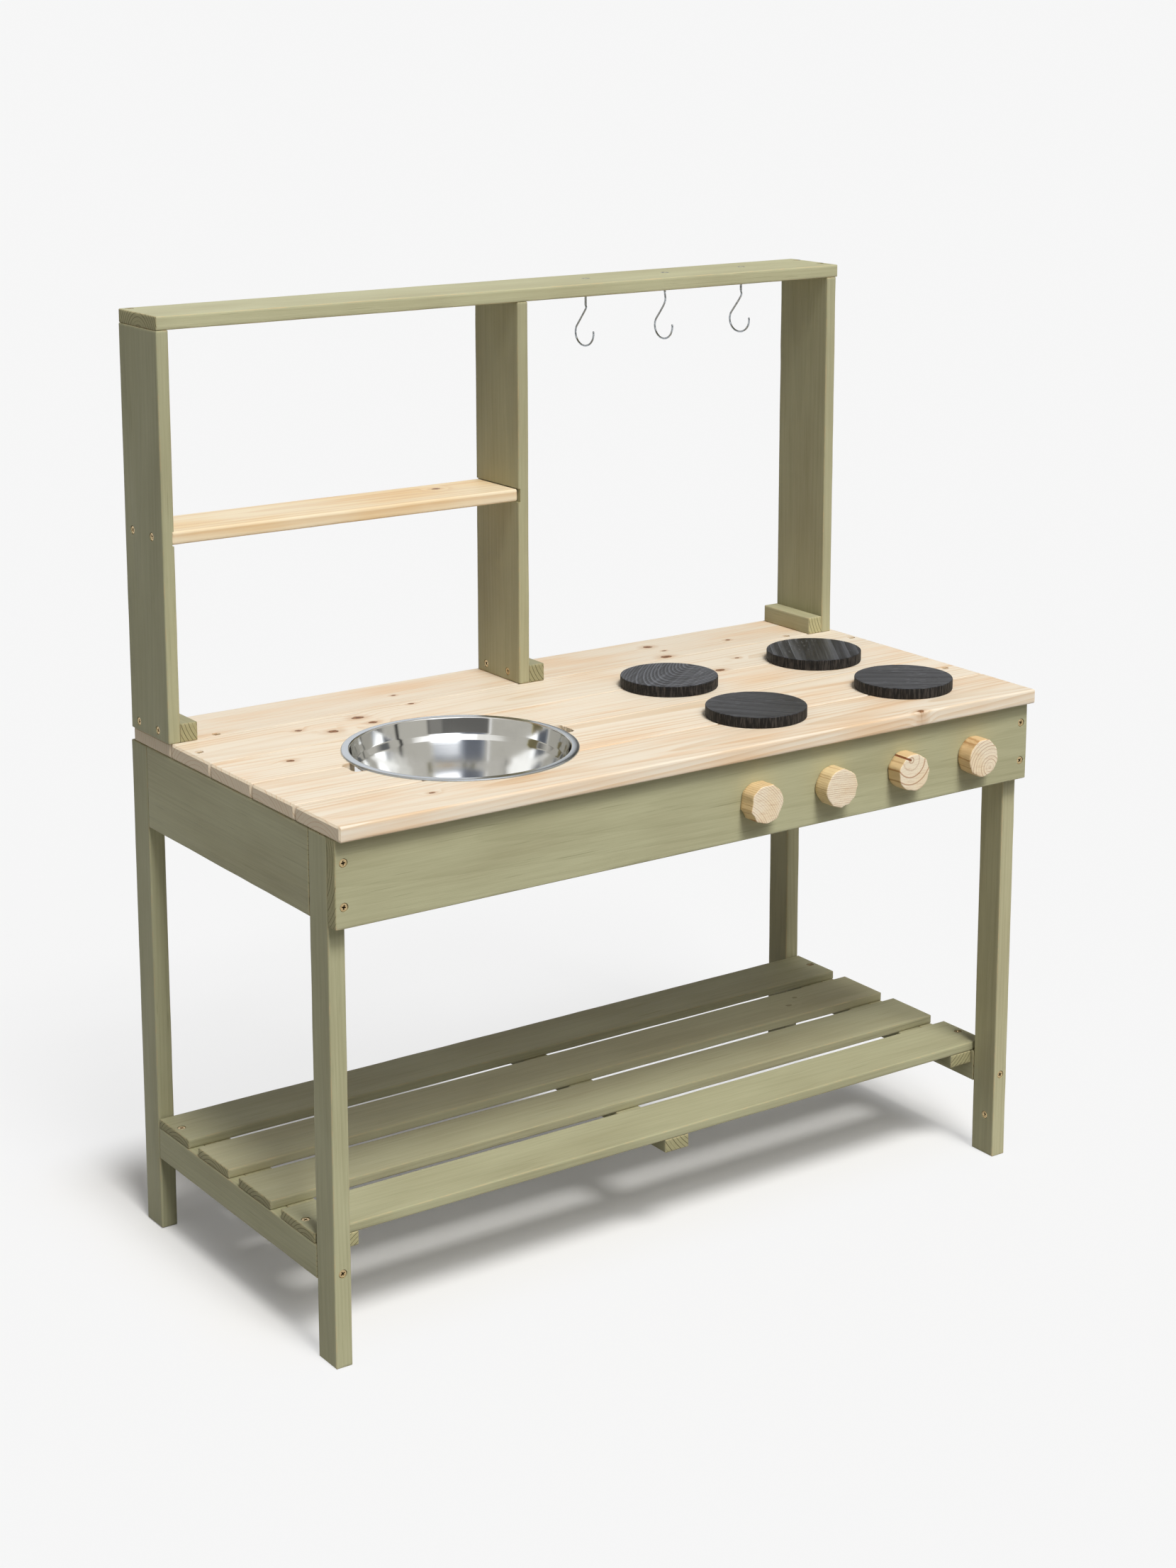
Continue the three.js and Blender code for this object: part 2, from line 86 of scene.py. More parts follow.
class Graph:
    """The nodes that feed one shader, made by calls that return the socket they lead to."""

    def __init__(self, owner, shader):
        owner.use_nodes = True
        self.owner = owner
        self.tree = owner.node_tree
        self.shader = self.tree.nodes[shader]

    def plug(self, target, value):
        if isinstance(value, bpy.types.NodeSocket):
            self.tree.links.new(value, target)
        else:
            target.default_value = value

    def feed(self, name, value):
        """Gives one of the shader's own inputs a value or a socket."""
        self.plug(self.shader.inputs[name], value)

    def add(self, kind, inputs=None, output=0, **settings):
        made = self.tree.nodes.new("ShaderNode" + kind)
        for name, value in settings.items():
            setattr(made, name, value)
        for key, value in (inputs or {}).items():
            self.plug(made.inputs[key], value)
        return made.outputs[output]

    def math(self, operation, *values, clamp=False):
        return self.add("Math", dict(enumerate(values)), operation=operation, use_clamp=clamp)

    def times(self, a, b, clamp=False):
        return self.math("MULTIPLY", a, b, clamp=clamp)

    def total(self, *parts):
        """The sum of sockets, each given with its weight."""
        made = 0.0
        for socket, weight in parts:
            made = self.math("MULTIPLY_ADD", socket, weight, made)
        return made

    def vector(self, operation, *values, output=0):
        return self.add("VectorMath", dict(enumerate(values)), output, operation=operation)

    def scale(self, place, factors):
        return self.vector("MULTIPLY", place, factors)

    def length(self, place):
        return self.vector("LENGTH", place, output=1)

    def mix(self, factor, a, b, blend="MIX"):
        """A blend of two colours, each a socket, a colour or a code for linear."""
        a, b = (linear(c) if isinstance(c, str) else c for c in (a, b))
        return self.add("Mix", {0: factor, 6: a, 7: b}, 2, data_type="RGBA", blend_type=blend)

    def span(self, value, start, end, low=0.0, high=1.0, kind="SMOOTHSTEP"):
        return self.add("MapRange", {0: value, 1: start, 2: end, 3: low, 4: high}, interpolation_type=kind)

    def noise(self, place, stretch=(1, 1, 1), detail=2.0, rough=0.5, output=0):
        inputs = {"Vector": self.scale(place, stretch), "Scale": 1.0, "Detail": detail, "Roughness": rough}
        return self.add("TexNoise", inputs, output)

    def dice(self, seed):
        """A steady number from 0 to 1 for each seed."""
        return self.add("TexWhiteNoise", {"W": seed}, "Value", noise_dimensions="1D")

    def attribute(self, name, output="Fac"):
        return self.add("Attribute", {}, output, attribute_name=name)

    def seen(self):
        """1 for rays from the camera or through a mirror or glass, and 0 for the others."""
        light = self.add("LightPath").node.outputs
        turned = self.math("MAXIMUM", light["Is Glossy Ray"], light["Is Transmission Ray"])
        return self.math("MAXIMUM", light["Is Camera Ray"], turned)

    def surface(self, colour, base, rough, depth, height):
        """Feeds the colour, the roughness over a base, and a bump of the given depth; the roughness and
        the bump's height are sums as in total. Returns the material."""
        self.feed("Base Color", colour)
        self.feed("Roughness", self.math("ADD", self.total(*rough), base))
        bump = {"Height": self.total(*height), "Distance": depth, "Strength": 1.0}
        self.feed("Normal", self.add("Bump", bump))
        return self.owner


def new_material(name, values):
    """The graph of a new material, its Principled shader set to the even values."""
    g = Graph(bpy.data.materials.new(name), "Principled BSDF")
    for key, value in values.items():
        g.feed(key, value)
    return g


# How far apart along their length the boards lie in their logs, so that each has its own grain
LOG_GAP = 2.0


def wood_figure(g, spacing, wander=5 * MM, knots=(), knot_pull=1.6):
    """Sockets that tell where the year rings, fibres, knots, end grain and rims of a board lie."""
    board = g.attribute("board", "Vector")
    drift = g.vector("SUBTRACT", g.noise(board, (2.1, 9, 9), 2, output=1), (0.5, 0.5, 0.5))
    centre = g.vector("ADD", g.attribute("pith", "Vector"), g.scale(drift, (0, wander, wander)))
    phase = g.math("DIVIDE", g.length(centre), spacing)
    phase = g.math("ADD", phase, g.noise(board, (1.3, 5, 5), 1))
    near = 100.0
    for place, size in knots:
        offset = g.scale(g.vector("SUBTRACT", board, place), (0.72 / size, 1 / size, 0))
        near = g.math("MINIMUM", near, g.length(offset))
    if knots:
        ragged = g.noise(board, (260, 320, 60), 2)
        near = g.math("ADD", near, g.math("MULTIPLY_ADD", ragged, 0.9, -0.45))
        phase = g.math("ADD", phase, g.span(near, 0.4, 5.5, knot_pull, 0.0))
    within = g.math("FRACT", phase)
    weight = g.span(g.dice(g.math("FLOOR", phase)), 0, 1, 0.3, 1.0, "LINEAR")
    late = g.times(g.span(within, 0.25, 0.9), g.span(within, 0.93, 1.0, 1.0, 0.0))
    line = g.times(g.span(within, 0.7, 0.9), g.span(within, 0.92, 1.0, 1.0, 0.0))
    plank = g.math("ROUND", g.times(g.add("SeparateXYZ", {0: board}), 1 / LOG_GAP))
    return SimpleNamespace(
        board=board,
        knot=near,
        late=g.times(late, weight),
        line=g.times(line, weight),
        fibre=g.noise(board, (16, 820, 820), 3, 0.65),
        streak=g.noise(board, (4, 150, 150), 2, 0.6),
        cloud=g.noise(board, (6, 19, 19), 2),
        chip=g.noise(board, (70, 260, 260), 2, 0.7),
        butt=g.attribute("butt"),
        rim=g.attribute("rim"),
        plank=g.dice(plank),
        tint=g.dice(g.math("ADD", plank, 0.37)))


def with_piece_tone_and_painted_light(g, colour):
    """The colour times the factor that each piece stores: partly the piece's own tone, partly painted light
    and shade.
    """
    return g.add("VectorMath", {0: colour, 3: g.attribute("shade")}, operation="SCALE")


def sage_material(knots):
    """Thin sage stain over softwood: faint streaks along the grain, ringed end grain, rims rubbed to tan."""
    g = new_material("sage_stained_wood", {"Specular IOR Level": 0.2})
    w = wood_figure(g, 4.2 * MM, knots=knots)
    depth = g.total((w.late, 0.16), (w.fibre, 0.65), (w.streak, 0.2), (w.cloud, 0.7), (w.plank, 0.25))
    depth = g.span(depth, 0.3, 1.7)
    green = g.mix(depth, "c7c49f", "a19e7a")
    brown = g.mix(depth, "c6bc98", "9c9271")
    hue = g.total((w.cloud, 0.85), (w.tint, 0.6), (w.streak, 0.2))
    colour = g.mix(g.span(hue, 0.5, 1.35, 0.0, 0.66), green, brown)
    scratch = g.noise(w.board, (9, 420, 420), 2, 0.6)
    colour = g.mix(g.span(scratch, 0.66, 0.73, 0.0, 0.38), colour, "7d7a58")
    colour = g.mix(g.span(w.knot, 0.75, 1.15, 0.55, 0.0), colour, "6b6144")
    sawn = g.total((w.line, 0.95), (w.fibre, 0.55), (w.chip, 0.3))
    colour = g.mix(w.butt, colour, g.mix(g.span(sawn, 0.35, 1.15), "b9b288", "6e6746"))
    rubbed = g.times(g.span(w.rim, 0.5, 0.95, 0.0, 0.7), g.span(w.chip, 0.42, 0.66))
    colour = g.mix(rubbed, colour, "cdb68c")
    rough = ((w.fibre, 0.2), (w.late, -0.08), (w.butt, 0.12), (w.cloud, 0.1))
    height = ((w.fibre, 0.6), (w.late, 0.25), (w.streak, 0.25))
    # The colour takes each piece's stored factor: partly its own tone, partly painted light and shade.
    return g.surface(with_piece_tone_and_painted_light(g, colour), 0.42, rough, 0.14 * MM, height)


def pale_material(name, tones, ends, spacing, knots=()):
    """Bare planed softwood: fine late-wood lines, blushes of warm colour, brown knots, sawn ends. The
    tones are a light and a dark one and the blush, the ends a light and a dark tone."""
    g = new_material(name, {"Specular IOR Level": 0.35})
    light, dark, blush = tones
    w = wood_figure(g, spacing, knots=knots, knot_pull=1.1)
    depth = g.total((w.late, 0.5), (w.fibre, 0.42), (w.streak, 0.42), (w.plank, 0.12))
    colour = g.mix(g.span(depth, 0.4, 1.4), light, dark)
    warm = g.total((w.cloud, 1.0), (w.streak, 0.45), (w.tint, 0.15))
    colour = g.mix(g.span(warm, 0.66, 1.1, 0.0, 0.75), colour, g.mix(1.0, colour, blush, "MULTIPLY"))
    if knots:
        colour = g.mix(g.span(w.knot, 0.8, 3.0, 0.42, 0.0), colour, "cd9c68")
        heart = g.mix(g.span(w.knot, 0.0, 0.7), "5a3822", "a9764a")
        edge = g.times(g.span(w.knot, 0.55, 0.8), g.span(w.knot, 0.8, 1.0, 1.0, 0.0))
        heart = g.mix(edge, heart, "68411f")
        colour = g.mix(g.span(w.knot, 0.82, 1.12, 1.0, 0.0), colour, heart)
    seam = g.times(g.span(w.rim, 0.8, 1.0, 0.0, 0.3), g.span(w.chip, 0.3, 0.55))
    colour = g.mix(seam, colour, "b08a60")
    sawn = g.total((w.line, 0.8), (w.fibre, 0.5), (w.chip, 0.25))
    colour = g.mix(w.butt, colour, g.mix(g.span(sawn, 0.35, 1.3), *ends))
    rough = ((w.fibre, 0.22), (w.late, -0.1), (w.butt, 0.18))
    # The colour takes each piece's stored factor: partly its own tone, partly painted light and shade.
    return g.surface(with_piece_tone_and_painted_light(g, colour), 0.42, rough, 0.12 * MM, ((w.fibre, 0.5), (w.late, 0.4)))


def charred_material():
    """Softwood stained near black. Its raised late wood is painted lighter, partly as wear and partly as a
    painted sheen, and its pale scuffs are partly painted glints.
    """
    g = new_material("blackened_wood", {"Specular IOR Level": 0.32})
    w = wood_figure(g, 3.4 * MM, wander=7 * MM)
    # The disc's stored value lifts both tones: partly wear, partly a painted sheen.
    wear_and_sheen = g.attribute("wear_and_sheen")
    # Raised late wood is painted lighter: partly wear, partly a painted sheen where it catches the light.
    ridge = g.span(g.total((w.late, 0.65), (w.fibre, 1.05), (w.streak, 0.9)), 0.75, 1.8)
    colour = g.mix(ridge, g.mix(wear_and_sheen, "0e0e0f", "232427"), g.mix(wear_and_sheen, "36373a", "6f727a"))
    # Pale scuffs: partly real scuffs, partly painted speckled glints.
    scuffs_and_glints = g.times(g.span(w.chip, 0.55, 0.7), g.span(w.cloud, 0.44, 0.6, 0.0, 0.5))
    colour = g.mix(scuffs_and_glints, colour, "8b8d91")
    side = g.noise(w.board, (500, 500, 60), 2)
    colour = g.mix(w.butt, colour, g.mix(g.span(side, 0.42, 0.68), "0f0e0e", "3a3633"))
    edge = g.times(g.span(w.rim, 0.45, 0.95, 0.0, 0.45), g.span(w.chip, 0.42, 0.65))
    colour = g.mix(edge, colour, "7b7c80")
    rough = ((ridge, -0.14), (w.fibre, 0.14), (w.butt, 0.26))
    return g.surface(colour, 0.37, rough, 0.3 * MM, ((w.fibre, 0.4), (w.late, 0.8)))


def segment_gap(g, place, start, end):
    """The distance from a place to the straight line between two points."""
    way = Vector(end) - Vector(start)
    offset = g.vector("SUBTRACT", place, start)
    share = g.times(g.vector("DOT_PRODUCT", offset, way, output=1), 1 / way.length_squared, clamp=True)
    return g.length(g.vector("SUBTRACT", offset, g.scale(share, way)))


# The resin pocket in the third knob: its ends, across and up from the knob's middle, and half its width
RESIN_START = (0, -24 * MM, 23.5 * MM)
RESIN_END = (0, -5.8 * MM, 15.2 * MM)
RESIN_HALF = 1.3 * MM


def knob_material():
    """Turned softwood seen end on: year rings, torn fibres, and a resin streak in one knob."""
    g = new_material("knob_wood", {})
    w = wood_figure(g, 2.3 * MM, wander=1.4 * MM)
    grit = g.noise(w.board, (300, 1100, 1100), 2, 0.7)
    saw = g.noise(w.board, (0, 60, 900), 1)
    side = g.span(g.total((w.line, 0.9), (w.fibre, 0.8), (w.streak, 0.5)), 0.5, 1.7)
    side = g.mix(side, g.mix(w.tint, "f0dba9", "ecc895"), "b07f4a")
    face = g.mix(g.span(grit, 0.35, 0.7, 0.0, 0.45), "fff2d8", "e9c79b")
    face = g.mix(g.span(w.cloud, 0.45, 0.62, 0.0, 0.35), face, "f4d6a4")
    face = g.mix(g.span(saw, 0.5, 0.7, 0.0, 0.3), face, "c99865")
    face = g.mix(g.times(w.line, 0.85), face, "ad7240")
    gap = segment_gap(g, g.scale(w.board, (0, 1, 1)), RESIN_START, RESIN_END)
    resin = g.times(g.attribute("resin"), g.span(gap, RESIN_HALF * 0.7, RESIN_HALF, 1.0, 0.0))
    colour = g.mix(resin, g.mix(w.butt, side, face), "8a5230")
    height = ((grit, 0.5), (w.line, 0.5), (resin, -2.0))
    return g.surface(colour, 0.42, ((grit, 0.2), (w.butt, 0.12)), 0.22 * MM, height)


def metal_material(name, tones, patchy, rough, spread, scale):
    """Metal of two tones, the second in patches, unevenly polished; a screw's recess is painted near black
    as shade.
    """
    g = new_material(name, {"Metallic": 1.0})
    place = g.add("TexCoord", output="Object")
    cloud = g.noise(place, [scale] * 3, 3, 0.6)
    fine = g.noise(place, [scale * 9] * 3, 2)
    tint = g.mix(g.span(cloud, 0.4, 0.62, 0.0, patchy), *tones)
    # Points in a screw's recess are painted near black: painted shade.
    tint = g.mix(g.attribute("recess_shade"), tint, "1d160c")
    polish = ((cloud, spread), (fine, spread * 0.6))
    return g.surface(tint, rough - spread * 0.8, polish, 0.02 * MM, ((cloud, 0.7), (fine, 0.3)))


def bowl_material(centre, rim_radius):
    """Mirror-polished sheet with faint turned rings; the flat of the rim is duller."""
    g = new_material("stainless_steel", {"Metallic": 1.0})
    place = g.vector("SUBTRACT", g.add("TexCoord", output="Object"), centre)
    radius = g.length(g.scale(place, (1, 1, 0)))
    height = g.add("SeparateXYZ", {0: place}, "Z")
    rings = g.noise(g.add("CombineXYZ", {0: radius, 1: height}), (2600, 2600, 1), 2)
    smudge = g.noise(place, (34, 34, 34), 3, 0.6)
    rim = g.span(radius, rim_radius - 1.2 * MM, rim_radius - 0.4 * MM)
    below_ledge = g.span(height, -26 * MM, -23 * MM, 1.0, 0.0)
    colour = g.mix(rim, "e6e6e4", "bbc0c4")
    colour = g.mix(g.span(smudge, 0.45, 0.75, 0.0, 0.12), colour, "a8a8a6")
    rough = ((rings, 0.05), (smudge, 0.05), (rim, 0.14), (below_ledge, 0.04))
    return g.surface(colour, 0.03, rough, 0.004 * MM, ((rings, 1.0),))


MATTE = {"Roughness": 1.0, "Specular IOR Level": 0.0, "Emission Color": grey(1.0)}


def floor_material():
    """The matt studio floor. It throws back less light than it shows. The object's shadow on it is
    full under the slats; round them the floor glows more and takes less light, a painted light that washes
    the shadow out, sooner on the right. Under the object it is tinted warm, a painted warm shade."""
    bounce, open_albedo, open_glow, under_glow = 0.34, 0.13, 0.80, 0.105
    # The floor under the object is tinted warm: a painted warm shade.
    warm_shade_albedo = (0.86, 0.8428, 0.8127, 1.0)
    g = new_material("studio_floor", MATTE)
    place = g.add("SeparateXYZ", {0: g.add("TexCoord", output="Object")}).node.outputs
    under = g.span(g.math("ABSOLUTE", place["X"]), 0.40, 0.58, 1.0, 0.0)
    under = g.times(under, g.span(place["Y"], -0.04, -0.21, 1.0, 0.0))
    behind = g.math("MULTIPLY_ADD", g.span(place["X"], -0.05, 0.25), 0.27, place["Y"])
    under = g.times(under, g.span(behind, 0.32, 0.46, 1.0, 0.0))
    shown = g.mix(under, grey(open_albedo), warm_shade_albedo)
    g.feed("Base Color", g.mix(g.add("LightPath", output="Is Diffuse Ray"), shown, grey(bounce)))
    # Round the object the floor glows brighter: a painted light that washes out the object's shadow.
    lift = g.span(under, 0, 1, open_glow, under_glow, "LINEAR")
    g.feed("Emission Strength", g.times(g.seen(), lift))
    return g.owner


def dome_material():
    """The screen that only mirrors see: it glows with the colour stored at each of its points."""
    g = new_material("mirror_dome_face", MATTE)
    g.feed("Base Color", grey(0.03))
    g.feed("Emission Strength", 1.0)
    g.feed("Emission Color", g.attribute("glow", "Vector"))
    return g.owner


# Meshes

def new_object(name, data):
    made = bpy.data.objects.new(name, data)
    bpy.context.scene.collection.objects.link(made)
    return made


def mesh_object(name, verts, faces, material=None, crease=35):
    """An object of smooth faces whose edges stay sharp beyond the crease angle in degrees."""
    mesh = bpy.data.meshes.new(name)
    mesh.from_pydata(verts, [], faces)
    made = new_object(name, mesh)
    finish_mesh(made, material, crease)
    return made


def finish_mesh(obj, material=None, crease=35):
    """Joins points that meet, smooths the faces and leaves the object its one material."""
    mesh = obj.data
    made = bmesh.new()
    made.from_mesh(mesh)
    bmesh.ops.remove_doubles(made, verts=made.verts, dist=1e-7)
    bmesh.ops.recalc_face_normals(made, faces=made.faces)
    made.to_mesh(mesh)
    made.free()
    mesh.shade_smooth()
    mesh.set_sharp_from_angle(angle=math.radians(crease))
    mesh.materials.clear()
    if material:
        mesh.materials.append(material)


def stand_in(obj, node):
    """The object takes the place of a CAD node, on that node's body; its maker gives it its finish."""
    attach(obj, frame["nodes"][node]["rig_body"])
    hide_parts(node)


def at(node, *shares):
    """The point at the given shares of a piece's length, depth and height."""
    return Vector([a + (b - a) * s for a, b, s in zip(*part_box(node), shares)])


def size_of(node):
    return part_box(node)[1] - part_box(node)[0]


def level_way(turn):
    """The level direction at an angle."""
    return Vector((math.cos(turn), math.sin(turn), 0))


def carve(obj, cutter):
    """Cuts the cutter out of the object and removes it."""
    change = obj.modifiers.new("cut", "BOOLEAN")
    change.object = cutter
    change.solver = "EXACT"
    bpy.context.view_layer.update()
    shown = obj.evaluated_get(bpy.context.evaluated_depsgraph_get())
    mesh = bpy.data.meshes.new_from_object(shown)
    obj.modifiers.clear()
    old, obj.data = obj.data, mesh
    bpy.data.meshes.remove(old)
    bpy.data.objects.remove(cutter)


def bands(rings):
    """Faces between rings of point numbers; where points meet, a face has fewer corners."""
    faces = []
    for lower, upper in zip(rings, rings[1:]):
        for i in range(len(lower)):
            j = (i + 1) % len(lower)
            ring = [lower[i], lower[j], upper[j], upper[i]]
            faces.append([v for k, v in enumerate(ring) if v not in ring[:k]])
    return faces


def lathe(profile, segments, wobble=None):
    """Points and faces of a profile of (radius, height) turned about Z; a radius of 0 is one point."""
    verts, rings = [], []
    for radius, height in profile:
        count = segments if radius > 0 else 1
        rings.append([len(verts) + i % count for i in range(segments)])
        for i in range(count):
            turn = 2 * math.pi * i / segments
            r, z = wobble(turn, radius, height) if wobble else (radius, height)
            verts.append(Vector((r * math.cos(turn), r * math.sin(turn), z)))
    return verts, bands(rings)


def placed(verts, place, direction=None, turn=0.0):
    """The points set at a place, with their Z along a direction."""
    tilt = direction.to_track_quat("Z", "Y").to_matrix() if direction else Matrix.Identity(3)
    spin = Matrix.Rotation(turn, 3, "Z")
    return [place + tilt @ (spin @ v) for v in verts]


def lathed(name, place, profile, segments, direction=None, wobble=None, material=None, crease=35):
    """An object turned from a profile and set at a place, its axis along a direction."""
    verts, faces = lathe(profile, segments, wobble)
    return mesh_object(name, placed(verts, place, direction), faces, material, crease)


def add_part(verts, faces, more, shape):
    """Adds points and the faces between them to a growing mesh."""
    faces += [[v + len(verts) for v in face] for face in shape]
    verts += more


def grid_block(cuts):
    """Points and faces of a block whose six sides carry a grid with lines at the given places."""
    verts, faces, index = [], [], {}
    last = [len(c) - 1 for c in cuts]

    def corner(side, u, v, i, j):
        key = [side] * 3
        key[u], key[v] = i, j
        if tuple(key) not in index:
            index[tuple(key)] = len(verts)
            verts.append(Vector([cut[k] for cut, k in zip(cuts, key)]))
        return index[tuple(key)]

    for axis, u, v in ((0, 1, 2), (1, 2, 0), (2, 0, 1)):
        for side in (0, last[axis]):
            for i, j in ((i, j) for i in range(last[u]) for j in range(last[v])):
                steps = ((0, 0), (1, 0), (1, 1), (0, 1))
                ring = [corner(side, u, v, i + a, j + b) for a, b in steps]
                faces.append(ring if side else ring[::-1])
    return verts, faces


# Timbers

RIM_BAND = 2.2 * MM
BOARD_STEP = 28 * MM
PLANE_DENT = 0.22 * MM
LONG_WAVE, SHORT_WAVE = 45 * MM, 11 * MM
CUT_SPARE = 5 * MM


def eased_cuts(low, high, radius):
    """Grid lines of one axis: close together on the eased edges, then a band, then even steps."""
    edge = [radius * (1 - math.tan(math.radians(a))) for a in (45, 22.5, 0)]
    if high - low > 2 * (radius + RIM_BAND) + MM:
        edge.append(radius + RIM_BAND)
    start, end = low + edge[-1], high - edge[-1]
    count = max(1, round((end - start) / BOARD_STEP))
    middle = [start + (end - start) * i / count for i in range(1, count)]
    return [low + e for e in edge] + middle + [high - e for e in reversed(edge)]


def eased_block(low, high, radius, end_radius, seed):
    """Points and faces of a timber: eased edges, a plane's slight hollows, and ends that may be
    rounded more than the long edges."""
    long = max(range(3), key=lambda a: high[a] - low[a])
    ease = [radius] * 3
    ease[long] = end_radius or radius
    verts, faces = grid_block([eased_cuts(low[a], high[a], ease[a]) for a in range(3)])
    middle = (low + high) / 2
    shaped = []
    for v in verts:
        core = Vector([min(max(v[a], low[a] + radius), high[a] - radius) for a in range(3)])
        if end_radius:
            core[long] = v[long]
        out = (v - core).normalized()
        rise = noise.noise(v / LONG_WAVE + Vector((seed, 0, 0)))
        rise += 0.6 * noise.noise(v / SHORT_WAVE + Vector((0, seed, 0)))
        soft = 1 + 1.5 * (sum(abs(c) > 0.3 for c in out) > 1)
        dent = PLANE_DENT * soft * max(0.0, 0.35 + 0.65 * rise)
        point = core + out * (radius - dent) if out.length else v.copy()
        if end_radius:
            short = max(0.0, end_radius - min(v[long] - low[long], high[long] - v[long])) / end_radius
            inset = end_radius * (1 - math.sqrt(1 - min(1.0, short) ** 2 * 0.98))
            for a in {0, 1, 2} - {long}:
                half = (high[a] - low[a]) / 2
                point[a] = middle[a] + (point[a] - middle[a]) * (half - inset) / half
        shaped.append(point)
    return shaped, faces


def store(obj, name, values, domain="POINT"):
    """Stores a value or a vector for each point or face, or one number for all."""
    values = np.asarray(values, dtype=np.float32)
    kind, field = ("FLOAT_VECTOR", "vector") if values.ndim == 2 else ("FLOAT", "value")
    made = obj.data.attributes.new(name, kind, domain)
    if values.ndim == 0:
        values = np.full(len(made.data), values)
    made.data.foreach_set(field, np.ascontiguousarray(values).ravel())


def points_of(obj):
    return np.array([v.co[:] for v in obj.data.vertices])


def mark_grain(obj, axes, centre, number, pith, lean, rim=0.0, growth=1.0):
    """Stores where each point lies in its log: along, across and through the board, and from the
    pith, which lies some millimetres off the board's middle and leans along it. A growth over 1
    sets the year rings closer."""
    axes = np.array([a[:] for a in axes])
    board = (points_of(obj) - np.array(centre)) @ axes.T
    off = np.zeros_like(board)
    for a in (1, 2):
        off[:, a] = (board[:, a] - pith[a - 1] * MM + lean[a - 1] * board[:, 0]) * growth
    board[:, 0] += LOG_GAP * number
    store(obj, "board", board)
    store(obj, "pith", off)
    store(obj, "rim", rim)
    butt = np.abs(np.array([p.normal[:] for p in obj.data.polygons]) @ axes[0])
    store(obj, "butt", np.clip((butt - 0.45) / 0.4, 0, 1), "FACE")


def block_rim(points, low, high):
    """How close each point lies to an edge of the block, from 0 to 1 on the edge."""
    inside = np.minimum(points - np.array(low), np.array(high) - points)
    return np.clip(1 - np.sort(inside, axis=1)[:, 1] / (RIM_BAND * 1.6), 0, 1)


def board_frame(low, high):
    """The axes of a board, longest first, and its middle."""
    order = sorted(range(3), key=lambda a: low[a] - high[a])
    return [(RIGHT, BACK, UP)[a] for a in order], (low + high) / 2


def plank_number(node):
    return NODES.index(node) + 1


def chance(node, salt):
    """A steady number from 0 to 1 for a piece and a use."""
    return noise.cell(Vector((plank_number(node) * 7.13, salt * 3.71, 1.5))) % 1


# Where the pith lies off a board's middle, in millimetres across and through it
PITH = {
    "worktop_board_5": (-12, -34), "worktop_board_4_right": (30, -52), "worktop_board_3_right": (-70, -46),
    "worktop_board_4_left": (30, -52), "worktop_board_3_left": (60, -60), "worktop_board_2": (-10, -35),
    "worktop_board_1": (170, -30), "front_apron": (14, 60), "top_rail": (-8, -26),
    "slat_bearer_middle": (50, 50), "slat_bearer_right": (-50, 50), "slat_bearer_left": (50, -50),
    "cleat_left": (27, 54), "cleat_middle": (30, 50), "cleat_right": (22, 58), "shelf": (10, -40),
}
# How far the long edges and the ends of a timber are rounded, in millimetres; 0 is like the edges
PLAIN_EASE = (1.15, 0)
EASE = {"worktop_board_5": (1.7, 2.6), "worktop_board": (0.6, 2.8), "shelf": (2.0, 3.2)}
# How much lighter or darker each piece is painted than the common tone of its wood: partly its own tone,
# partly painted light and shade, darker where shade falls on the piece and lighter where light falls on it
PIECE_TONE_AND_PAINTED_LIGHT = {
    "top_rail": 1.07, "front_apron": 1.01, "post_left": 0.91, "post_middle": 0.91, "post_right": 0.95,
    "cleat_left": 0.82, "cleat_middle": 0.73, "cleat_right": 1.03, "leg_front_left": 1.02,
    "leg_front_right": 1.12, "leg_back_left": 0.88, "leg_back_right": 0.99, "slat_1": 0.82, "slat_2": 0.93,
    "slat_3": 0.8, "slat_4": 0.91, "slat_bearer_middle": 0.85, "slat_bearer_right": 0.85,
    "worktop_board_1": 0.91, "worktop_board_2": 0.96, "worktop_board_4_right": 1.03,
}
SEAM_HALF = 0.35 * MM


def pith_of(node):
    if node in PITH:
        return PITH[node]
    side = 1 if chance(node, 3) > 0.5 else -1
    return (chance(node, 1) - 0.5) * 70, side * (22 + 45 * chance(node, 2))


def drawn_box(node):
    """The box of a piece; boards of the worktop stand a little apart."""
    low, high = (corner.copy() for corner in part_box(node))
    if node.startswith("worktop_board"):
        low.y += 0 if node == "worktop_board_5" else SEAM_HALF
        high.y -= 0 if node == "worktop_board_1" else SEAM_HALF
    return low, high


def timber(node, material, cutters):
    """A board in the place of its CAD node, with its cuts and its grain."""
    low, high = drawn_box(node)
    kind = node if node in EASE else node[:len("worktop_board")]
    radius, end_radius = (r * MM for r in EASE.get(kind, PLAIN_EASE))
    number = plank_number(node)
    block = eased_block(low, high, radius, end_radius, number * 1.7)
    made = mesh_object(node + "_board", *block)
    for cutter in cutters:
        carve(made, cutter)
    finish_mesh(made, material)
    lean = [(chance(node, salt) - 0.5) * 0.05 for salt in (5, 6)]
    rim = block_rim(points_of(made), low, high)
    mark_grain(made, *board_frame(low, high), number, pith_of(node), lean, rim)
    # Each piece's factor: partly its own tone, partly painted light and shade.
    store(made, "shade", PIECE_TONE_AND_PAINTED_LIGHT.get(node, 1.0))
    stand_in(made, node)


def block_cutter(low, high):
    return mesh_object("cutter", *grid_block([(low[a], high[a]) for a in range(3)]))


# Screws

